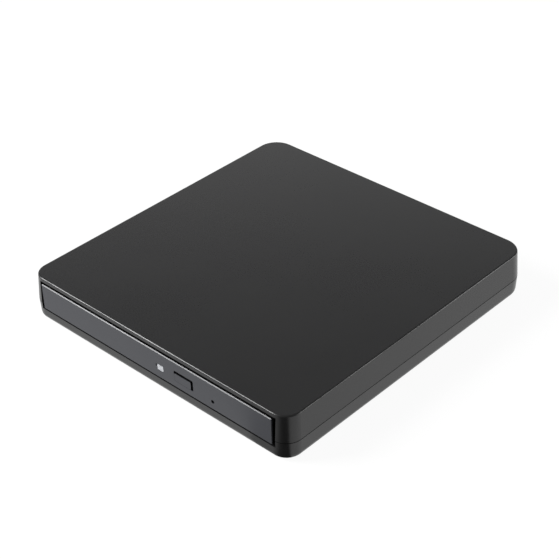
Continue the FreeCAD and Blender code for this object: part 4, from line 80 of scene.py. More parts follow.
class Number:
    """A shader value on which Python's arithmetic adds Math nodes."""

    def __init__(self, graph: Graph, socket: bpy.types.NodeSocket) -> None:
        """Wraps a socket.

        Args:
            graph: The material's graph that the socket belongs to.
            socket: An output socket with one value.
        """
        self.graph = graph
        self.socket = socket

    def _math(self, operation: str, *values: Number | float) -> Number:
        """Adds a Math node.

        Args:
            operation: The node's operation.
            values: Its one to three values, numbers or sockets.

        Returns:
            The node's value.
        """
        inputs = dict(enumerate(values))
        return self.graph.value("ShaderNodeMath", {"operation": operation}, inputs)

    def __add__(self, other: Number | float) -> Number:
        """Adds."""
        return self._math("ADD", self, other)

    __radd__ = __add__

    def __sub__(self, other: Number | float) -> Number:
        """Subtracts."""
        return self._math("SUBTRACT", self, other)

    def __rsub__(self, other: float) -> Number:
        """Subtracts from a number."""
        return self._math("SUBTRACT", other, self)

    def __mul__(self, other: Number | float) -> Number:
        """Multiplies."""
        return self._math("MULTIPLY", self, other)

    __rmul__ = __mul__

    def __truediv__(self, other: Number | float) -> Number:
        """Divides."""
        return self._math("DIVIDE", self, other)

    def below(self, limit: Number | float) -> Number:
        """Gives 1 where the value is below a limit, and 0 elsewhere."""
        return self._math("LESS_THAN", self, limit)

    def above(self, limit: Number | float) -> Number:
        """Gives 1 where the value is above a limit, and 0 elsewhere."""
        return self._math("GREATER_THAN", self, limit)

    def wrapped(self, length: float) -> Number:
        """Repeats the value from 0 to a length."""
        return self._math("WRAP", self, length, 0.0)

    def sine(self) -> Number:
        """Takes the sine of an angle in radians."""
        return self._math("SINE", self)

    def eased(self, low: float, high: float) -> Number:
        """Runs smoothly from 0 at a low value to 1 at a high one."""
        settings = {"interpolation_type": "SMOOTHSTEP"}
        inputs = {"Value": self, "From Min": low, "From Max": high}
        return self.graph.value("ShaderNodeMapRange", settings, inputs)


class Graph:
    """One material's nodes, with calls that add and link them."""

    def __init__(self, name: str) -> None:
        """Starts a material with a principled shader.

        Args:
            name: The material's name.
        """
        self.material = bpy.data.materials.new(name)
        self.material.use_nodes = True
        self.tree = self.material.node_tree
        self.shader = next(node for node in self.tree.nodes if node.type == "BSDF_PRINCIPLED")
        self.output = next(node for node in self.tree.nodes if node.type == "OUTPUT_MATERIAL")
        self._coordinates: bpy.types.NodeSocket | None = None

    def node(self, kind: str, settings: dict | None = None, inputs: dict | None = None) -> bpy.types.Node:
        """Adds a node.

        Args:
            kind: The node's type.
            settings: Its properties, set before its sockets.
            inputs: Socket names or numbers, with numbers, colours, sockets or wrapped values.

        Returns:
            The node.
        """
        added = self.tree.nodes.new(kind)
        for name, setting in (settings or {}).items():
            setattr(added, name, setting)
        for key, given in (inputs or {}).items():
            self.feed(added.inputs[key], given)
        return added

    def feed(self, socket: bpy.types.NodeSocket, given: object) -> None:
        """Sets or links a socket.

        Args:
            socket: The input socket.
            given: A number, a colour, a socket or a wrapped value.
        """
        if isinstance(given, Number):
            given = given.socket
        if isinstance(given, bpy.types.NodeSocket):
            self.tree.links.new(given, socket)
        elif isinstance(given, tuple) and len(given) == 3 and socket.type == "RGBA":
            socket.default_value = (*given, 1.0)
        else:
            socket.default_value = given

    def value(self, kind: str, settings: dict | None = None, inputs: dict | None = None) -> Number:
        """Adds a node and wraps its first output."""
        added = self.node(kind, settings, inputs)
        return Number(self, next(socket for socket in added.outputs if socket.enabled))

    @property
    def place(self) -> bpy.types.NodeSocket:
        """The point on the object, in metres from the drive's origin."""
        if self._coordinates is None:
            self._coordinates = self.node("ShaderNodeTexCoord").outputs["Object"]
        return self._coordinates

    def axes(self) -> tuple[Number, Number, Number]:
        """Splits the point into X, Y and Z."""
        split = self.node("ShaderNodeSeparateXYZ", inputs={0: self.place})
        return tuple(Number(self, socket) for socket in split.outputs)

    def stretched(self, stretch: Point) -> bpy.types.NodeSocket:
        """Gives the point stretched along each axis."""
        inputs = {"Vector": self.place, "Scale": stretch}
        return self.node("ShaderNodeMapping", {"vector_type": "POINT"}, inputs).outputs[0]

    def noise(self, size: float, detail: float = 2.0, roughness: float = 0.5,
              vector: bpy.types.NodeSocket | None = None) -> Number:
        """Gives soft noise.

        Args:
            size: Metres from one spot to the next.
            detail: How many finer layers it has.
            roughness: How strong they are.
            vector: The point that it follows, or the object's own.

        Returns:
            A value about 0.5.
        """
        inputs = {
            "Vector": vector or self.place, "Scale": 1.0 / size, "Detail": detail, "Roughness": roughness,
        }
        return self.value("ShaderNodeTexNoise", inputs=inputs)

    def cells(self, size: float) -> Number:
        """Gives the distance to the nearest of scattered points, a size apart."""
        return self.value("ShaderNodeTexVoronoi", inputs={"Vector": self.place, "Scale": 1.0 / size})

    def mix(self, factor: Number | float, first: object, second: object) -> bpy.types.NodeSocket:
        """Mixes two colours by a factor."""
        added = self.node("ShaderNodeMix", {"data_type": "RGBA"}, {0: factor, 6: first, 7: second})
        return added.outputs[2]

    def bump(self, height: Number, depth: float) -> bpy.types.NodeSocket:
        """Raises a surface.

        Args:
            height: The pattern, from 0 to 1.
            depth: Metres that it rises.

        Returns:
            The normal.
        """
        inputs = {"Height": height, "Distance": depth, "Strength": 1.0}
        return self.node("ShaderNodeBump", inputs=inputs).outputs[0]

    def dress(self, **sockets: object) -> bpy.types.Material:
        """Sets the shader's sockets, with underscores for spaces, and returns the material."""
        for name, given in sockets.items():
            self.feed(self.shader.inputs[name.replace("_", " ")], given)
        return self.material


@dataclass(frozen=True)
class MouldedPlastic:
    """Injection-moulded plastic with a spark-eroded grain and a slight mottle."""

    name: str
    colour: Colour
    roughness: float = 0.42
    grain: float = 0.4 * MM
    depth: float = 0.006 * MM
    mottle: float = 0.10
    cloud_size: float = 18.0 * MM
    smudge_size: float = 55.0 * MM
    unevenness: float = 0.10
    bloom: float = 0.002

    def material(self) -> bpy.types.Material:
        """Builds the material."""
        graph = Graph(self.name)
        grain = graph.noise(self.grain, detail=3.0, roughness=0.6)
        cloud = graph.noise(self.cloud_size, detail=2.0)
        smudge = graph.noise(self.smudge_size, detail=4.0, roughness=0.55)
        gloss = smudge * self.unevenness + grain * self.unevenness
        return graph.dress(
            Base_Color=self.tint(graph, cloud * 0.5 + grain * 0.5),
            Roughness=gloss + (self.roughness - self.unevenness),
            Normal=graph.bump(grain, self.depth),
        )

    def tint(self, graph: Graph, shade: Number) -> bpy.types.NodeSocket:
        """Mottles the colour.

        Args:
            graph: The material's graph.
            shade: From 0, a little deeper, to 1, a little paler.

        Returns:
            The colour.
        """
        pale = tuple(min(1.0, part * (1.0 + self.mottle) + self.bloom) for part in self.colour)
        deep = tuple(part * (1.0 - self.mottle) for part in self.colour)
        return graph.mix(shade, deep, pale)


@dataclass(frozen=True)
class GapShadedPlastic(MouldedPlastic):
    """Plastic with its colour on its face, and painted shade on its sides behind the face, standing in for
    the dark of the gaps round it.
    """

    colour: Colour = (0.028, 0.030, 0.038)
    roughness: float = 0.34
    depth: float = 0.004 * MM
    # Painted shade: the sides behind the face's edge are near black, as the gaps round the part fall dark.
    gap_shade: Colour = (0.002, 0.002, 0.002)
    edge: float = -73.86 * MM

    def tint(self, graph: Graph, shade: Number) -> bpy.types.NodeSocket:
        """Mottles the colour of the face and paints shade on what is behind its edge.

        Args:
            graph: The material's graph.
            shade: From 0, a little deeper, to 1, a little paler.

        Returns:
            The colour.
        """
        _, along, _ = graph.axes()
        # Behind the edge the colour is painted shade, not the plastic's own colour.
        return graph.mix(along.above(self.edge), super().tint(graph, shade), self.gap_shade)


@dataclass(frozen=True)
class SheetMetal:
    """Rolled sheet with fine drawn lines along one direction and faint cloudy plating."""

    name: str
    colour: Colour
    roughness: float = 0.34
    metallic: float = 1.0
    line_width: float = 0.25 * MM
    line_stretch: Point = (1.0, 0.03, 1.0)
    line_depth: float = 0.002 * MM
    line_share: float = 0.3
    line_gloss: float = 0.14
    plating_size: float = 9.0 * MM
    plating_gloss: float = 0.10
    dulling: float = 0.82

    def material(self) -> bpy.types.Material:
        """Builds the material."""
        graph = Graph(self.name)
        drawn = graph.stretched(self.line_stretch)
        lines = graph.noise(self.line_width, detail=3.0, vector=drawn)
        plating = graph.noise(self.plating_size, detail=5.0, roughness=0.6)
        dull = tuple(part * self.dulling for part in self.colour)
        shine = plating * (1.0 - self.line_share) + lines * self.line_share
        least = self.roughness - (self.line_gloss + self.plating_gloss) / 2
        return graph.dress(
            Base_Color=graph.mix(shine, dull, self.colour),
            Roughness=lines * self.line_gloss + plating * self.plating_gloss + least,
            Metallic=self.metallic,
            Normal=graph.bump(lines, self.line_depth),
        )


@dataclass(frozen=True)
class CastMetal:
    """Die-cast alloy with a fine orange-peel skin."""

    name: str
    colour: Colour
    roughness: float = 0.46
    skin_size: float = 0.5 * MM
    skin_depth: float = 0.010 * MM
    skin_share: float = 0.4
    skin_gloss: float = 0.16
    flow_size: float = 11.0 * MM
    dulling: float = 0.78

    def material(self) -> bpy.types.Material:
        """Builds the material."""
        graph = Graph(self.name)
        skin = graph.noise(self.skin_size, detail=4.0, roughness=0.65)
        flow = graph.noise(self.flow_size, detail=3.0)
        dull = tuple(part * self.dulling for part in self.colour)
        shine = flow * (1.0 - self.skin_share) + skin * self.skin_share
        return graph.dress(
            Base_Color=graph.mix(shine, dull, self.colour),
            Roughness=skin * self.skin_gloss + (self.roughness - self.skin_gloss / 2),
            Metallic=1.0,
            Normal=graph.bump(skin, self.skin_depth),
        )


@dataclass(frozen=True)
class GroundSteel:
    """Ground and polished steel, as on rods, balls, screws and springs."""

    name: str
    colour: Colour = (0.62, 0.62, 0.63)
    roughness: float = 0.2
    wipe_size: float = 1.6 * MM
    wipe_gloss: float = 0.12
    scratch_gloss: float = 0.06
    scratch_size: float = 0.12 * MM
    scratch_depth: float = 0.001 * MM
    dulling: float = 0.85

    def material(self) -> bpy.types.Material:
        """Builds the material."""
        graph = Graph(self.name)
        wipe = graph.noise(self.wipe_size, detail=3.0)
        fine = graph.noise(self.scratch_size, detail=2.0)
        dull = tuple(part * self.dulling for part in self.colour)
        least = self.roughness - self.wipe_gloss / 2
        return graph.dress(
            Base_Color=graph.mix(wipe, dull, self.colour),
            Roughness=wipe * self.wipe_gloss + fine * self.scratch_gloss + least,
            Metallic=1.0,
            Normal=graph.bump(fine, self.scratch_depth),
        )


@dataclass(frozen=True)
class SoftRubber:
    """Matt rubber with a powdery bloom."""

    name: str
    colour: Colour = (0.018, 0.018, 0.019)
    roughness: float = 0.78
    bloom_size: float = 2.5 * MM
    bloom_paleness: float = 0.022
    bloom_gloss: float = 0.12
    pore_size: float = 0.3 * MM
    pore_depth: float = 0.008 * MM
    reflectance: float = 0.35

    def material(self) -> bpy.types.Material:
        """Builds the material."""
        graph = Graph(self.name)
        bloom = graph.noise(self.bloom_size, detail=5.0, roughness=0.65)
        pores = graph.cells(self.pore_size)
        dusty = tuple(part + self.bloom_paleness for part in self.colour)
        return graph.dress(
            Base_Color=graph.mix(bloom, self.colour, dusty),
            Roughness=bloom * self.bloom_gloss + (self.roughness - self.bloom_gloss / 2),
            Normal=graph.bump(pores, self.pore_depth),
            Specular_IOR_Level=self.reflectance,
        )


@dataclass(frozen=True)
class OpenFoam:
    """Open-cell foam strip, with painted shade in the dip of each pore."""

    name: str
    colour: Colour = (0.045, 0.045, 0.045)
    pore_shade: Colour = (0.012, 0.012, 0.012)
    roughness: float = 0.95
    pore_size: float = 0.45 * MM
    pore_edge: tuple[float, float] = (0.1, 0.6)
    pore_depth: float = 0.12 * MM

    def material(self) -> bpy.types.Material:
        """Builds the material."""
        graph = Graph(self.name)
        pores = graph.cells(self.pore_size)
        return graph.dress(
            # Painted shade: the pores' dips are darker, as shade falls in them.
            Base_Color=graph.mix(pores.eased(*self.pore_edge), self.pore_shade, self.colour),
            Roughness=self.roughness,
            Normal=graph.bump(pores, self.pore_depth),
        )


@dataclass(frozen=True)
class SolderResist:
    """Circuit board: green resist over copper tracks, with tinned pads in rows."""

    name: str
    resist: Colour = (0.010, 0.075, 0.032)
    track: Colour = (0.022, 0.145, 0.060)
    tin: Colour = (0.55, 0.55, 0.53)
    bend_size: float = 9.0 * MM
    lane_bend: float = 5.0 * MM
    cross_bend: float = 4.0 * MM
    lane_pitch: float = 0.9 * MM
    lane_width: float = 0.42 * MM
    cross_pitch: float = 1.3 * MM
    cross_width: float = 0.5 * MM
    region_size: float = 13.0 * MM
    pad_pitch: tuple[float, float] = (2.54 * MM, 3.81 * MM)
    pad_width: float = 0.7 * MM
    pad_spread: float = 6.0 * MM
    pad_rarity: float = 0.56
    pad_gloss: float = 0.06
    pad_metal: float = 0.9
    relief: float = 0.02 * MM
    roughness: float = 0.34
    coat: float = 0.25

    def material(self) -> bpy.types.Material:
        """Builds the material."""
        graph = Graph(self.name)
        across, along, _ = graph.axes()
        bend = graph.noise(self.bend_size, detail=0.0)
        lane = (across + bend * self.lane_bend).wrapped(self.lane_pitch)
        cross = (along + bend * self.cross_bend).wrapped(self.cross_pitch)
        region = graph.noise(self.region_size, detail=1.0).above(0.5)
        tracks = lane.below(self.lane_width) * region + cross.below(self.cross_width) * (1.0 - region)
        pad_x = across.wrapped(self.pad_pitch[0]).below(self.pad_width)
        pad_y = along.wrapped(self.pad_pitch[1]).below(self.pad_width)
        pads = pad_x * pad_y * graph.noise(self.pad_spread, detail=0.0).above(self.pad_rarity)
        painted = graph.mix(tracks, self.resist, self.track)
        return graph.dress(
            Base_Color=graph.mix(pads, painted, self.tin),
            Roughness=self.roughness - pads * self.pad_gloss,
            Metallic=pads * self.pad_metal,
            Normal=graph.bump(tracks + pads * 0.5, self.relief),
            Coat_Weight=self.coat,
        )


@dataclass(frozen=True)
class CableFilm:
    """Flat cable: parallel tinned conductors under a pale film."""

    name: str
    film: Colour = (0.62, 0.60, 0.52)
    conductor: Colour = (0.42, 0.41, 0.38)
    pitch: float = 0.5 * MM
    wire_share: float = 0.55
    wire_show: float = 0.8
    relief: float = 0.012 * MM
    haze_size: float = 4.0 * MM
    haze_gloss: float = 0.1
    roughness: float = 0.28

    def material(self) -> bpy.types.Material:
        """Builds the material."""
        graph = Graph(self.name)
        across, _, _ = graph.axes()
        wires = across.wrapped(self.pitch).below(self.pitch * self.wire_share)
        haze = graph.noise(self.haze_size, detail=3.0)
        return graph.dress(
            Base_Color=graph.mix(wires * self.wire_show, self.film, self.conductor),
            Roughness=haze * self.haze_gloss + self.roughness,
            Normal=graph.bump(wires, self.relief),
        )


@dataclass(frozen=True)
class Winding:
    """Enamelled copper wire wound on poles, with painted shade in the grooves between the turns."""

    name: str
    colour: Colour = (0.52, 0.20, 0.07)
    roughness: float = 0.3
    metallic: float = 0.7
    wire: float = 0.22 * MM
    relief: float = 0.05 * MM
    shading: float = 0.45
    coat: float = 0.4

    def material(self) -> bpy.types.Material:
        """Builds the material."""
        graph = Graph(self.name)
        _, _, height = graph.axes()
        turns = (height * (math.tau / self.wire)).sine() * 0.5 + 0.5
        # Painted shade: darker between the turns, where the grooves fall in shade.
        between = tuple(part * self.shading for part in self.colour)
        return graph.dress(
            Base_Color=graph.mix(turns, between, self.colour),
            Roughness=self.roughness,
            Metallic=self.metallic,
            Normal=graph.bump(turns, self.relief),
            Coat_Weight=self.coat,
        )


@dataclass(frozen=True)
class CoatedLens:
    """Small moulded lens with a violet coating."""

    name: str
    tint: Colour = (0.42, 0.46, 0.72)
    coating: Colour = (0.75, 0.55, 0.85)
    coating_index: float = 1.5
    index: float = 1.52
    roughness: float = 0.03
    clearness: float = 0.75

    def material(self) -> bpy.types.Material:
        """Builds the material."""
        graph = Graph(self.name)
        rim = graph.node("ShaderNodeFresnel", inputs={"IOR": self.coating_index}).outputs[0]
        return graph.dress(
            Base_Color=graph.mix(rim, self.tint, self.coating),
            Roughness=self.roughness,
            IOR=self.index,
            Transmission_Weight=self.clearness,
            Coat_Weight=1.0,
        )


@dataclass(frozen=True)
class LampWindow:
    """Clear moulded window over the lamp, grey when the lamp is off."""

    name: str
    colour: Colour = (0.36, 0.37, 0.39)
    ridge_paleness: float = 2.4
    rib_pitch: float = 0.62 * MM
    rib_width: float = 0.31 * MM
    rib_depth: float = 0.01 * MM
    rib_share: float = 0.75
    haze_size: float = 0.8 * MM
    haze_gloss: float = 0.1
    roughness: float = 0.2
    coat: float = 0.5

    def material(self) -> bpy.types.Material:
        """Builds the material."""
        graph = Graph(self.name)
        _, _, height = graph.axes()
        ribs = height.wrapped(self.rib_pitch).below(self.rib_width)
        haze = graph.noise(self.haze_size, detail=2.0)
        pale = tuple(part * self.ridge_paleness for part in self.colour)
        shade = ribs * self.rib_share + haze * (1.0 - self.rib_share)
        return graph.dress(
            Base_Color=graph.mix(shade, self.colour, pale),
            Roughness=haze * self.haze_gloss + self.roughness,
            Normal=graph.bump(ribs, self.rib_depth),
            Coat_Weight=self.coat,
        )


class Finish(Enum):
    """The drive's finishes, each by what it is made of."""

    CASE = MouldedPlastic("case_satin", (0.0126, 0.0126, 0.0130), roughness=0.29, grain=0.55 * MM)
    # The bezel and the button carry painted shade on their sides behind the face.
    BEZEL = GapShadedPlastic("bezel_satin")
    BUTTON = GapShadedPlastic("button_satin", edge=-74.1 * MM)
    TRAY = MouldedPlastic("tray_satin", (0.014, 0.014, 0.015), roughness=0.44, depth=0.012 * MM)
    HUB = MouldedPlastic("hub_gloss", (0.016, 0.016, 0.018), roughness=0.26, depth=0.001 * MM)
    GUIDE = MouldedPlastic("guide_natural", (0.58, 0.57, 0.53), roughness=0.40, mottle=0.05)
    WHITE = MouldedPlastic("white_acetal", (0.70, 0.69, 0.66), roughness=0.33, mottle=0.03)
    CHIP = MouldedPlastic("chip_black", (0.014, 0.014, 0.015), roughness=0.55, grain=0.16 * MM)
    CASE_SHEET = SheetMetal("zinc_sheet", (0.56, 0.57, 0.58))
    DARK_SHEET = SheetMetal("black_sheet", (0.030, 0.030, 0.033), roughness=0.42, metallic=0.0)
    SLIDE_SHEET = SheetMetal("slide_sheet", (0.60, 0.60, 0.61), roughness=0.28)
    CAST = CastMetal("cast_frame", (0.46, 0.47, 0.49))
    STEEL = GroundSteel("ground_steel")
    SCREW = GroundSteel("zinc_screw", (0.50, 0.50, 0.49), roughness=0.3)
    DARK_SCREW = GroundSteel("black_screw", (0.045, 0.045, 0.048), roughness=0.36)
    TIN = GroundSteel("tinned_leads", (0.66, 0.65, 0.62), roughness=0.3)
    RUBBER = SoftRubber("black_rubber")
    FOAM = OpenFoam("grey_foam")
    BOARD = SolderResist("solder_resist")
    FILM = CableFilm("cable_film")
    COPPER = Winding("copper_winding")
    LENS = CoatedLens("coated_lens")
    LAMP = LampWindow("lamp_window")


class Paintbox:
    """Makes each finish once and puts it on pieces."""

    def __init__(self, nodes: dict[str, bpy.types.Object]) -> None:
        """Keeps the drive's solids by name.

        Args:
            nodes: The solids that the frame holds.
        """
        self.nodes = nodes
        self.made: dict[Finish, bpy.types.Material] = {}

    def material(self, finish: Finish) -> bpy.types.Material:
        """Returns a finish's material, made at its first use."""
        if finish not in self.made:
            self.made[finish] = finish.value.material()
        return self.made[finish]

    def cover(self, piece: bpy.types.Object, finish: Finish) -> None:
        """Puts a finish all over a piece.

        Args:
            piece: A solid of the frame or a piece made here.
            finish: What it is made of.
        """
        piece.data.materials.clear()
        piece.data.materials.append(self.material(finish))
        LOG.info("%s: %s", piece.name, finish.name.lower())

    def dress(self, finish: Finish, *names: str) -> None:
        """Puts a finish on solids of the frame by name."""
        for name in names:
            self.cover(self.nodes[name], finish)


@dataclass(frozen=True)
class Workbench:
    """Makes pieces by the modelling operators, as by hand."""

    bevel_steps: int = 2
    corner_steps: int = 6
    wire_sides: int = 10
    turn_steps: int = 28
    smooth_angle: float = math.radians(35)

    @staticmethod
    def clear() -> None:
        """Leaves nothing selected."""
        if bpy.context.object and bpy.context.object.mode != "OBJECT":
            bpy.ops.object.mode_set(mode="OBJECT")
        bpy.ops.object.select_all(action="DESELECT")

    @staticmethod
    def edit() -> None:
        """Goes into edit mode with all of the piece selected."""
        bpy.ops.object.mode_set(mode="EDIT")
        bpy.ops.mesh.select_all(action="SELECT")

    @staticmethod
    def thicken(piece: bpy.types.Object, thickness: float) -> None:
        """Gives a surface its thickness, half on each side."""
        skin = piece.modifiers.new("thickness", "SOLIDIFY")
        skin.thickness = thickness
        skin.offset = 0.0
        bpy.ops.object.modifier_apply(modifier=skin.name)

    @staticmethod
    def name(name: str) -> bpy.types.Object:
        """Names the piece just made and moves its place into its mesh."""
        piece = bpy.context.object
        piece.name = name
        piece.data.name = name
        bpy.ops.object.transform_apply(location=True, rotation=True, scale=True)
        return piece

    @staticmethod
    def solids(node: bpy.types.Object) -> list[tuple[Vector, Vector]]:
        """Finds the separate solids of a node.

        Args:
            node: A node of the frame.

        Returns:
            Each solid's lowest and highest corner.
        """
        mesh = bmesh.new()
        mesh.from_mesh(node.data)
        mesh.transform(node.matrix_world)
        waiting = set(mesh.verts)
        found = []
        while waiting:
            reached = [waiting.pop()]
            for corner in reached:
                beside = {edge.other_vert(corner) for edge in corner.link_edges} & waiting
                waiting -= beside
                reached.extend(beside)
            sides = list(zip(*(corner.co for corner in reached)))
            found.append((Vector(map(min, sides)), Vector(map(max, sides))))
        mesh.free()
        return sorted(found, key=lambda box: tuple(box[0]))

    def block(self, name: str, low: Point, high: Point, bevel: float) -> bpy.types.Object:
        """Makes a block with rounded edges.

        Args:
            name: The piece's name.
            low: Its lowest corner.
            high: Its highest corner.
            bevel: The rounding.

        Returns:
            The piece.
        """
        self.clear()
        middle = [(one + two) / 2 for one, two in zip(low, high)]
        size = [two - one for one, two in zip(low, high)]
        bpy.ops.mesh.primitive_cube_add(size=1.0, location=middle)
        bpy.context.object.scale = size
        piece = self.name(name)
        rounding = piece.modifiers.new("rounding", "BEVEL")
        rounding.width = bevel
        rounding.segments = self.bevel_steps
        bpy.ops.object.modifier_apply(modifier=rounding.name)
        bpy.ops.object.shade_smooth_by_angle(angle=self.smooth_angle)
        return piece

    def sheet(self, name: str, low: Point, high: Point, rounding: float) -> bpy.types.Object:
        """Makes a flat sheet with rounded corners.

        Args:
            name: The piece's name.
            low: Its lowest corner.
            high: Its highest corner.
            rounding: Its corners' radius.

        Returns:
            The piece.
        """
        self.clear()
        middle = [(one + two) / 2 for one, two in zip(low, high)]
        across, along, thickness = (two - one for one, two in zip(low, high))
        bpy.ops.mesh.primitive_plane_add(size=1.0, location=middle)
        bpy.context.object.scale = (across, along, 1.0)
        sheet = self.name(name)
        self.edit()
        bpy.ops.mesh.bevel(offset=rounding, segments=self.corner_steps, affect="VERTICES")
        bpy.ops.object.mode_set(mode="OBJECT")
        self.thicken(sheet, thickness)
        return sheet

    def repeat(self, piece: bpy.types.Object, count: int, step: Vector) -> bpy.types.Object:
        """Repeats a piece in a row.

        Args:
            piece: The first of the row.
            count: How many there are.
            step: From one to the next.

        Returns:
            The whole row as one piece.
        """
        row = piece.modifiers.new("row", "ARRAY")
        row.count = count
        row.use_relative_offset = False
        row.use_constant_offset = True
        row.constant_offset_displace = step
        bpy.context.view_layer.objects.active = piece
        bpy.ops.object.modifier_apply(modifier=row.name)
        return piece

    def coil(self, name: str, wire: float, radius: float, turns: int, ends: Ends) -> bpy.types.Object:
        """Winds a wire about a line.

        Args:
            name: The piece's name.
            wire: The wire's thickness.
            radius: From the line to the middle of the wire.
            turns: How often it goes round.
            ends: The line's two ends.

        Returns:
            The piece.
        """
        start, end = ends
        self.clear()
        bpy.ops.mesh.primitive_circle_add(vertices=self.wire_sides, radius=wire / 2)
        wound = bpy.context.object
        self.edit()
        bpy.ops.transform.translate(value=(radius, 0.0, 0.0))
        bpy.ops.transform.rotate(value=math.pi / 2, orient_axis="X", center_override=(radius, 0.0, 0.0))
        bpy.ops.object.mode_set(mode="OBJECT")
        winding = wound.modifiers.new("winding", "SCREW")
        winding.axis = "Z"
        winding.angle = math.tau
        winding.screw_offset = (end - start).length / turns
        winding.iterations = turns
        winding.steps = self.turn_steps
        winding.render_steps = self.turn_steps
        bpy.ops.object.modifier_apply(modifier=winding.name)
        wound.rotation_euler = (end - start).to_track_quat("Z", "Y").to_euler()
        wound.location = start
        coil = self.name(name)
        self.edit()
        bpy.ops.mesh.normals_make_consistent(inside=False)
        bpy.ops.object.mode_set(mode="OBJECT")
        bpy.ops.object.shade_smooth()
        return coil

    def join(self, name: str, pieces: Sequence[bpy.types.Object]) -> bpy.types.Object:
        """Joins pieces into one."""
        self.clear()
        for piece in pieces:
            piece.select_set(True)
        bpy.context.view_layer.objects.active = pieces[0]
        bpy.ops.object.join()
        return self.name(name)


@dataclass
class Housing:
    """The two shells with their feet, screws and foam strips."""

    paint: Paintbox

    def build(self) -> None:
        """Dresses the shells and what closes them."""
        self.paint.dress(Finish.CASE, "top_cover", "bottom_cover")
        self.paint.dress(Finish.RUBBER, "rubber_feet")
        self.paint.dress(Finish.DARK_SCREW, "case_screws")
        self.paint.dress(Finish.FOAM, "foam_strips")


@dataclass
class DriveCase:
    """The steel case with its boards, guides, ejector and cord inlet."""

    paint: Paintbox
    bench: Workbench
    spring_wire: float = 0.35 * MM
    spring_turns: int = 11
    contact_count: int = 5
    contact_width: float = 0.4 * MM
    contact_pitch: float = 0.72 * MM
    contact_height: float = 0.06 * MM
    contact_round: float = 0.015 * MM
    contact_start: float = 1.0 * MM
    contact_end: float = 0.4 * MM

    def build(self) -> None:
        """Dresses the case and makes its spring and the inlet's contacts."""
        self.paint.dress(Finish.CASE_SHEET, "drive_pan", "drive_lid")
        self.paint.dress(Finish.SLIDE_SHEET, "left_rail", "right_rail")
        self.paint.dress(Finish.GUIDE, "left_guide", "right_guide", "ejector_bracket")
        self.paint.dress(Finish.SCREW, "mount_screws", "lid_screws", "board_screws")
        self.paint.dress(Finish.STEEL, "inlet_shell", "latch_pin")
        self.paint.dress(Finish.BOARD, "main_board", "bridge_board")
        self.paint.dress(Finish.CHIP, "main_board_chips", "bridge_board_chips", "data_socket", "data_plug")
        self.paint.dress(Finish.CHIP, "inlet_tongue")
        self.paint.dress(Finish.WHITE, "ejector_rod")
        self.spring()
        self.contacts()

    def spring(self) -> None:
        """Winds the ejector's spring in the place of its tube."""
        low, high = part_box("ejector_spring")
        middle = (low + high) / 2
        inset = self.spring_wire / 2
        start = Vector((middle.x, low.y + inset, middle.z))
        end = Vector((middle.x, high.y - inset, middle.z))
        radius = (high.x - low.x) / 2 - inset
        spring = self.bench.coil("ejector_coil", self.spring_wire, radius, self.spring_turns, (start, end))
        self.paint.cover(spring, Finish.STEEL)
        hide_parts("ejector_spring")
        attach(spring, "housing")

    def contacts(self) -> None:
        """Lays the inlet's contacts along its tongue."""
        low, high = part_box("inlet_tongue")
        middle = (low.x + high.x) / 2
        strips = []
        for number in range(self.contact_count):
            place = middle + (number - (self.contact_count - 1) / 2) * self.contact_pitch
            strips.append(self.bench.block(
                f"contact_{number}",
                (place - self.contact_width / 2, low.y + self.contact_start, low.z - self.contact_height),
                (place + self.contact_width / 2, high.y - self.contact_end, low.z + self.contact_height / 2),
                self.contact_round,
            ))
        contacts = self.bench.join("inlet_contacts", strips)
        self.paint.cover(contacts, Finish.COPPER)
        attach(contacts, "housing")


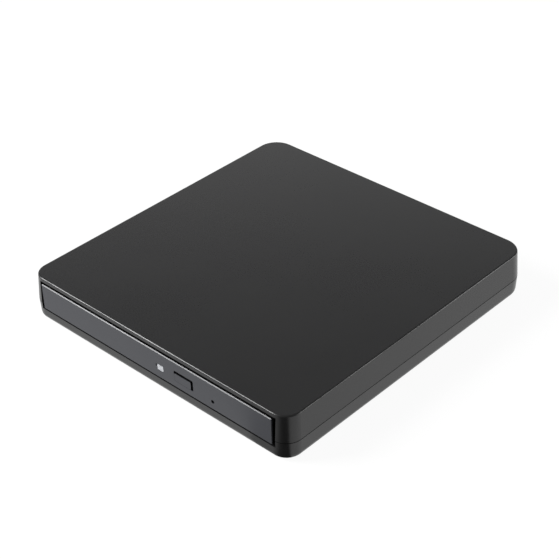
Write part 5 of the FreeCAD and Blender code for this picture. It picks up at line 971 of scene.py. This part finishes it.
@dataclass
class BoardDetail:
    """Leads on the chips and sockets, and tinned caps on the small parts, worked out from their solids."""

    paint: Paintbox
    bench: Workbench
    chip_least: float = 5.5 * MM
    small_most: float = 2.0 * MM
    chip_pitch: float = 0.8 * MM
    socket_pitch: float = 1.27 * MM
    lead_width: float = 0.32 * MM
    lead_reach: float = 0.55 * MM
    lead_thick: float = 0.16 * MM
    lead_shoulder: float = 0.22 * MM
    lead_round: float = 0.04 * MM
    cap_length: float = 0.34 * MM
    cap_over: float = 0.03 * MM

    def build(self) -> None:
        """Adds the leads and caps of both boards."""
        for board in ("main_board", "bridge_board"):
            pieces = []
            for low, high in self.bench.solids(self.paint.nodes[f"{board}_chips"]):
                size = high - low
                if min(size.x, size.y) > self.chip_least:
                    for axis, side in ((0, -1), (0, 1), (1, -1), (1, 1)):
                        pieces += self.leads((low, high), axis, side, self.chip_pitch)
                elif max(size.x, size.y) < self.small_most:
                    pieces += self.caps((low, high))
            plug, side = ("data_socket", -1) if board == "main_board" else ("data_plug", 1)
            pieces += self.leads(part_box(plug), 1, side, self.socket_pitch)
            joined = self.bench.join(f"{board}_leads", pieces)
            self.paint.cover(joined, Finish.TIN)
            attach(joined, "housing")

    def leads(self, box: Ends, axis: int, side: int, pitch: float) -> list[bpy.types.Object]:
        """Makes a row of bent leads along one side of a part.

        Args:
            box: The part's lowest and highest corner.
            axis: The axis that the leads reach along, 0 for X and 1 for Y.
            side: Towards its high end with 1, towards its low end with -1.
            pitch: From one lead to the next.

        Returns:
            The row of feet and the row of shoulders.
        """
        low, high = box
        across = 1 - axis
        face = (high if side > 0 else low)[axis]
        count = int((high[across] - low[across]) / pitch)
        first = (high[across] + low[across] - (count - 1) * pitch) / 2
        step = Vector((0.0, 0.0, 0.0))
        step[across] = pitch
        rise = (high.z - low.z) / 2
        rows = []
        for reach, top in ((self.lead_reach, self.lead_thick), (self.lead_shoulder, rise)):
            start, end = Vector(low), Vector(high)
            start[axis], end[axis] = sorted((face - side * self.lead_round, face + side * reach))
            start[across], end[across] = first - self.lead_width / 2, first + self.lead_width / 2
            end.z = low.z + top
            lead = self.bench.block("lead", tuple(start), tuple(end), self.lead_round)
            rows.append(self.bench.repeat(lead, count, step))
        return rows

    def caps(self, box: Ends) -> list[bpy.types.Object]:
        """Makes the two tinned end caps of a small part."""
        low, high = box
        made = []
        for start, end in (
            (low.x - self.cap_over, low.x + self.cap_length),
            (high.x - self.cap_length, high.x + self.cap_over),
        ):
            first = (start, low.y - self.cap_over, low.z)
            last = (end, high.y + self.cap_over, high.z + self.cap_over)
            made.append(self.bench.block("cap", first, last, self.lead_round))
        return made


@dataclass
class Ribbon:
    """Flat cable from the main board, forward along the pan, round a bend and back under the tray."""

    paint: Paintbox
    bench: Workbench
    thickness: float = 0.15 * MM
    corner: float = 0.2 * MM
    board_gap: float = 0.55 * MM
    socket_rise: float = 0.6 * MM
    socket_depth: float = 2.0 * MM
    steps: int = 64
    bend_steps: int = 16
    smooth_angle: float = math.radians(30)
    blend_margin: float = 1.2

    def path(self) -> list[Vector]:
        """Works out the cable's middle line from its solid.

        Returns:
            Points from the main board's socket to the tray, in the plane of Y and Z.
        """
        low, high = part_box("ribbon_cable")
        board_low, board_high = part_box("main_board")
        half = self.thickness / 2
        bottom, top = low.z + half, high.z - half
        radius = (top - bottom) / 2
        bend = low.y + radius + half
        riser = board_low.y - self.board_gap
        socket = board_high.z + self.socket_rise
        line = [
            (board_low.y + self.socket_depth, socket), (riser + self.corner, socket),
            (riser, socket - self.corner), (riser, bottom + self.corner), (riser - self.corner, bottom),
        ]
        run = riser - self.corner - bend
        line += [(bend + run * (1.0 - number / self.steps), bottom) for number in range(1, self.steps + 1)]
        for number in range(1, self.bend_steps + 1):
            turn = math.pi * number / self.bend_steps
            line.append((bend - radius * math.sin(turn), bottom + radius * (1.0 - math.cos(turn))))
        run = self.upper_end(high.z) - bend
        line += [(bend + run * number / self.steps, top) for number in range(1, self.steps + 1)]
        return [Vector((0.0, along, up)) for along, up in line]

    def upper_end(self, top: float) -> float:
        """Finds how far back the solid's upper run goes.

        Args:
            top: The height of its upper face.

        Returns:
            The run's end along Y.
        """
        solid = self.paint.nodes["ribbon_cable"]
        corners = (solid.matrix_world @ corner.co for corner in solid.data.vertices)
        return max(corner.y for corner in corners if corner.z > top - self.thickness)

    def build(self) -> None:
        """Extrudes the cable's width along its path and gives it its thickness."""
        low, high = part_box("ribbon_cable")
        path = self.path()
        self.bench.clear()
        bpy.ops.mesh.primitive_plane_add(size=1.0)
        strip = bpy.context.object
        self.bench.edit()
        bpy.ops.mesh.delete(type="ONLY_FACE")
        mesh = bmesh.from_edit_mesh(strip.data)
        corners = sorted(mesh.verts, key=lambda corner: (corner.co.y, corner.co.x))
        bmesh.ops.delete(mesh, geom=corners[2:], context="VERTS")
        left, right = corners[:2]
        left.co = path[0] + Vector((low.x, 0.0, 0.0))
        right.co = path[0] + Vector((high.x, 0.0, 0.0))
        bmesh.update_edit_mesh(strip.data)
        bpy.ops.mesh.select_all(action="SELECT")
        for before, after in zip(path, path[1:]):
            bpy.ops.mesh.extrude_region_move(TRANSFORM_OT_translate={"value": after - before})
        bpy.ops.object.mode_set(mode="OBJECT")
        self.bench.thicken(strip, self.thickness)
        ribbon = self.bench.name("flat_cable")
        bpy.ops.object.shade_smooth_by_angle(angle=self.smooth_angle)
        self.paint.cover(ribbon, Finish.FILM)
        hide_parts("ribbon_cable")
        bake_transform(ribbon)


@dataclass
class TrayFront:
    """The tray, its bezel, eject button, lamp, front board and latch."""

    paint: Paintbox

    def build(self) -> None:
        """Dresses what moves with the tray."""
        self.paint.dress(Finish.TRAY, "tray")
        self.paint.dress(Finish.BEZEL, "bezel")
        self.paint.dress(Finish.BUTTON, "eject_button")
        self.paint.dress(Finish.LAMP, "lamp_window")
        self.paint.dress(Finish.BOARD, "front_board")
        self.paint.dress(Finish.CHIP, "eject_switch", "latch_magnet")
        self.paint.dress(Finish.WHITE, "status_led", "latch_hook")
        self.paint.dress(Finish.STEEL, "latch_pivot")


@dataclass
class Traverse:
    """The frame under the tray with its motors, rods, lead screw, laser sled and the film below it."""

    paint: Paintbox
    bench: Workbench
    thread_pitch: float = 3.0 * MM
    thread_wire: float = 0.4 * MM
    thread_sunk: float = 0.12 * MM
    journal: float = 3.0 * MM
    film_low: Point = (-56.0 * MM, -61.0 * MM, 7.83 * MM)
    film_high: Point = (30.0 * MM, 19.0 * MM, 7.95 * MM)
    film_round: float = 3.0 * MM

    def build(self) -> None:
        """Dresses the traverse, winds its lead screw's thread and lays the film below it."""
        self.paint.dress(Finish.CAST, "traverse_frame", "sled", "spindle_motor_base")
        self.paint.dress(Finish.DARK_SHEET, "traverse_cover")
        self.paint.dress(Finish.RUBBER, "isolators", "turntable_pad")
        self.paint.dress(Finish.SCREW, "isolator_screws", "rod_clamps")
        self.paint.dress(Finish.STEEL, "guide_rods", "lead_screw", "actuator_yoke", "pickup_cover")
        self.paint.dress(Finish.STEEL, "rotor", "stepper_motor")
        self.paint.dress(Finish.STEEL, "chuck_ball_1", "chuck_ball_2", "chuck_ball_3")
        self.paint.dress(Finish.COPPER, "stator")
        self.paint.dress(Finish.TRAY, "turntable", "lens_holder")
        self.paint.dress(Finish.HUB, "centring_hub")
        self.paint.dress(Finish.WHITE, "screw_follower")
        self.paint.dress(Finish.LENS, "objective_lens")
        self.thread()
        self.film()

    def film(self) -> None:
        """Lays the thin black film that closes the tray from below."""
        film = self.bench.sheet("tray_shield", self.film_low, self.film_high, self.film_round)
        self.paint.cover(film, Finish.DARK_SHEET)
        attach(film, "tray")

    def thread(self) -> None:
        """Winds the ridge of the lead screw's thread round it, between its journals."""
        low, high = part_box("lead_screw")
        radius = (high.z - low.z) / 2
        aside = Vector((radius, radius, 0.0)) / math.sqrt(2.0)
        start, end = low + aside, high - aside
        start.z = end.z = (low.z + high.z) / 2
        ahead = (end - start).normalized()
        turns = int(((end - start).length - 2.0 * self.journal) / self.thread_pitch)
        middle, half = (start + end) / 2, ahead * turns * self.thread_pitch / 2
        ends = (middle - half, middle + half)
        thread = self.bench.coil("lead_thread", self.thread_wire, radius - self.thread_sunk, turns, ends)
        self.paint.cover(thread, Finish.STEEL)
        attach(thread, "lead_screw")


@dataclass(frozen=True)
class SoftBox:
    """A soft lamp that points at the drive."""

    name: str
    bearing: Point
    distance: float
    width: float
    height: float
    glow: float

    def hang(self) -> None:
        """Hangs the lamp."""
        data = bpy.data.lights.new(self.name, "AREA")
        data.shape = "RECTANGLE"
        data.size = self.width
        data.size_y = self.height
        data.energy = self.glow * math.pi * self.width * self.height
        lamp = bpy.data.objects.new(self.name, data)
        bearing = Vector(self.bearing).normalized()
        lamp.location = bearing * self.distance
        lamp.rotation_euler = (-bearing).to_track_quat("-Z", "Y").to_euler()
        bpy.context.scene.collection.objects.link(lamp)


@dataclass
class Studio:
    """Floor, light and the camera at the photograph's place."""

    azimuth: float = 43.464
    elevation: float = 34.927
    roll: float = -1.421
    distance: float = 613.06 * MM
    target: Point = (-10.795 * MM, 10.668 * MM, 0.8 * MM)
    focal_pixels: float = 1431.06
    frame_pixels: float = 559.0
    sensor: float = 36.0
    nearest: float = 10.0 * MM
    floor_size: float = 6.0
    floor_colour: float = 0.10
    floor_white: float = 0.93
    floor_gloss: float = 0.90
    # Painted shade in the floor's reflections, seen only by glossy rays: its centre, its flanks and how it
    # fades.
    near_corner: tuple[float, float] = (62.3 * MM, -64.8 * MM)
    shade_left: tuple[float, float] = (0.3, 1.2)
    shade_right: tuple[float, float] = (0.13, 0.28)
    shade_fade_reach: float = 130.0 * MM
    shade_fade_depth: float = 0.45
    room_light: float = 0.2
    lamps: tuple[SoftBox, ...] = (
        SoftBox("left_tall", bearing=(-0.60, -0.56, 0.57), distance=1.15, width=0.52, height=0.64, glow=17.5),
        SoftBox("right_low", bearing=(0.72, 0.62, 0.20), distance=1.15, width=1.10, height=0.34, glow=6.0),
        SoftBox("back_wide", bearing=(-0.62, 0.66, 0.34), distance=1.45, width=1.50, height=0.55, glow=0.7),
    )

    def build(self) -> None:
        """Sets up the floor, the lamps, the world and the camera."""
        scene = bpy.context.scene
        scene.view_settings.view_transform = "Standard"
        self.floor()
        self.world(scene)
        for lamp in self.lamps:
            lamp.hang()
        self.camera(scene)

    def floor(self) -> None:
        """Lays a pale floor that keeps the drive's shadow.

        It is white to the camera. In reflections it carries a painted shade straight ahead of the near
        corner, which darkens that corner's reflection, and the painted shade fades towards that corner on the
        left.
        """
        bpy.ops.object.select_all(action="DESELECT")
        bpy.ops.mesh.primitive_plane_add(size=self.floor_size)
        floor = bpy.context.object
        floor.name = "floor"
        graph = Graph("pale_floor")
        graph.tree.nodes.remove(graph.shader)
        path = graph.node("ShaderNodeLightPath")
        glossy, through = path.outputs["Is Glossy Ray"], path.outputs["Is Transmission Ray"]
        mirrored = Number(graph, glossy) + Number(graph, through)
        across, along, _ = graph.axes()
        turn = math.radians(self.azimuth)
        right = across - self.near_corner[0]
        back = along - self.near_corner[1]
        ahead = right * math.sin(turn) - back * math.cos(turn)
        aside = (right * math.cos(turn) + back * math.sin(turn)) / ahead
        # Painted shade in reflections: a wedge ahead of the near corner, deeper close to that corner.
        reach = (right * right + back * back).eased(0.0, self.shade_fade_reach ** 2)
        left = (aside * -1.0).eased(*self.shade_left) * (reach * self.shade_fade_depth + (1.0 - self.shade_fade_depth))
        beside = aside.eased(*self.shade_right) + left
        lit = 1.0 - ahead.above(0.0) * (1.0 - beside)
        direct = Number(graph, path.outputs["Is Camera Ray"]) * self.floor_white
        # Glossy rays see the floor with the painted shade; camera rays see it evenly white.
        seen = direct + mirrored * lit * self.floor_gloss
        matt = graph.node("ShaderNodeBsdfDiffuse", inputs={"Color": (self.floor_colour,) * 3})
        glow = {"Color": (1.0, 1.0, 1.0), "Strength": seen}
        lift = graph.node("ShaderNodeEmission", inputs=glow)
        both = graph.node("ShaderNodeAddShader", inputs={0: matt.outputs[0], 1: lift.outputs[0]})
        graph.tree.links.new(both.outputs[0], graph.output.inputs["Surface"])
        floor.data.materials.append(graph.material)

    def world(self, scene: bpy.types.Scene) -> None:
        """Fills the room with even light, white where the camera sees it.

        Args:
            scene: The scene that the world belongs to.
        """
        world = bpy.data.worlds.new("room")
        scene.world = world
        world.use_nodes = True
        tree = world.node_tree
        background = next(node for node in tree.nodes if node.type == "BACKGROUND")
        background.inputs["Color"].default_value = (1.0, 1.0, 1.0, 1.0)
        path = tree.nodes.new("ShaderNodeLightPath")
        strength = tree.nodes.new("ShaderNodeMapRange")
        strength.inputs["To Min"].default_value = self.room_light
        strength.inputs["To Max"].default_value = 1.0
        tree.links.new(path.outputs["Is Camera Ray"], strength.inputs["Value"])
        tree.links.new(strength.outputs[0], background.inputs["Strength"])

    def camera(self, scene: bpy.types.Scene) -> None:
        """Places the camera by the angles at which the photograph was taken.

        Args:
            scene: The scene that it becomes the camera of.
        """
        turn, rise, lean = (math.radians(angle) for angle in (self.azimuth, self.elevation, self.roll))
        forward = Vector((-math.sin(turn) * math.cos(rise), math.cos(turn) * math.cos(rise), -math.sin(rise)))
        level = forward.cross(Vector((0.0, 0.0, 1.0))).normalized()
        upright = level.cross(forward)
        right = level * math.cos(lean) + upright * math.sin(lean)
        upward = upright * math.cos(lean) - level * math.sin(lean)
        data = bpy.data.cameras.new("photograph")
        data.sensor_width = self.sensor
        data.lens = self.sensor * self.focal_pixels / self.frame_pixels
        data.clip_start = self.nearest
        camera = bpy.data.objects.new("photograph", data)
        axes = Matrix((right, upward, -forward)).transposed().to_4x4()
        camera.matrix_world = Matrix.Translation(Vector(self.target) - forward * self.distance) @ axes
        scene.collection.objects.link(camera)
        scene.camera = camera


def main() -> None:
    """Builds the drive's looks in order."""
    logging.basicConfig(level=logging.INFO, format="%(name)s %(message)s")
    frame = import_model()
    paint = Paintbox(frame["nodes"])
    bench = Workbench()
    Studio().build()
    for assembly in (
        Housing(paint), DriveCase(paint, bench), BoardDetail(paint, bench), Ribbon(paint, bench),
        TrayFront(paint), Traverse(paint, bench),
    ):
        assembly.build()
        LOG.info("%s is done", type(assembly).__name__)


if __name__ == "__main__":
    main()
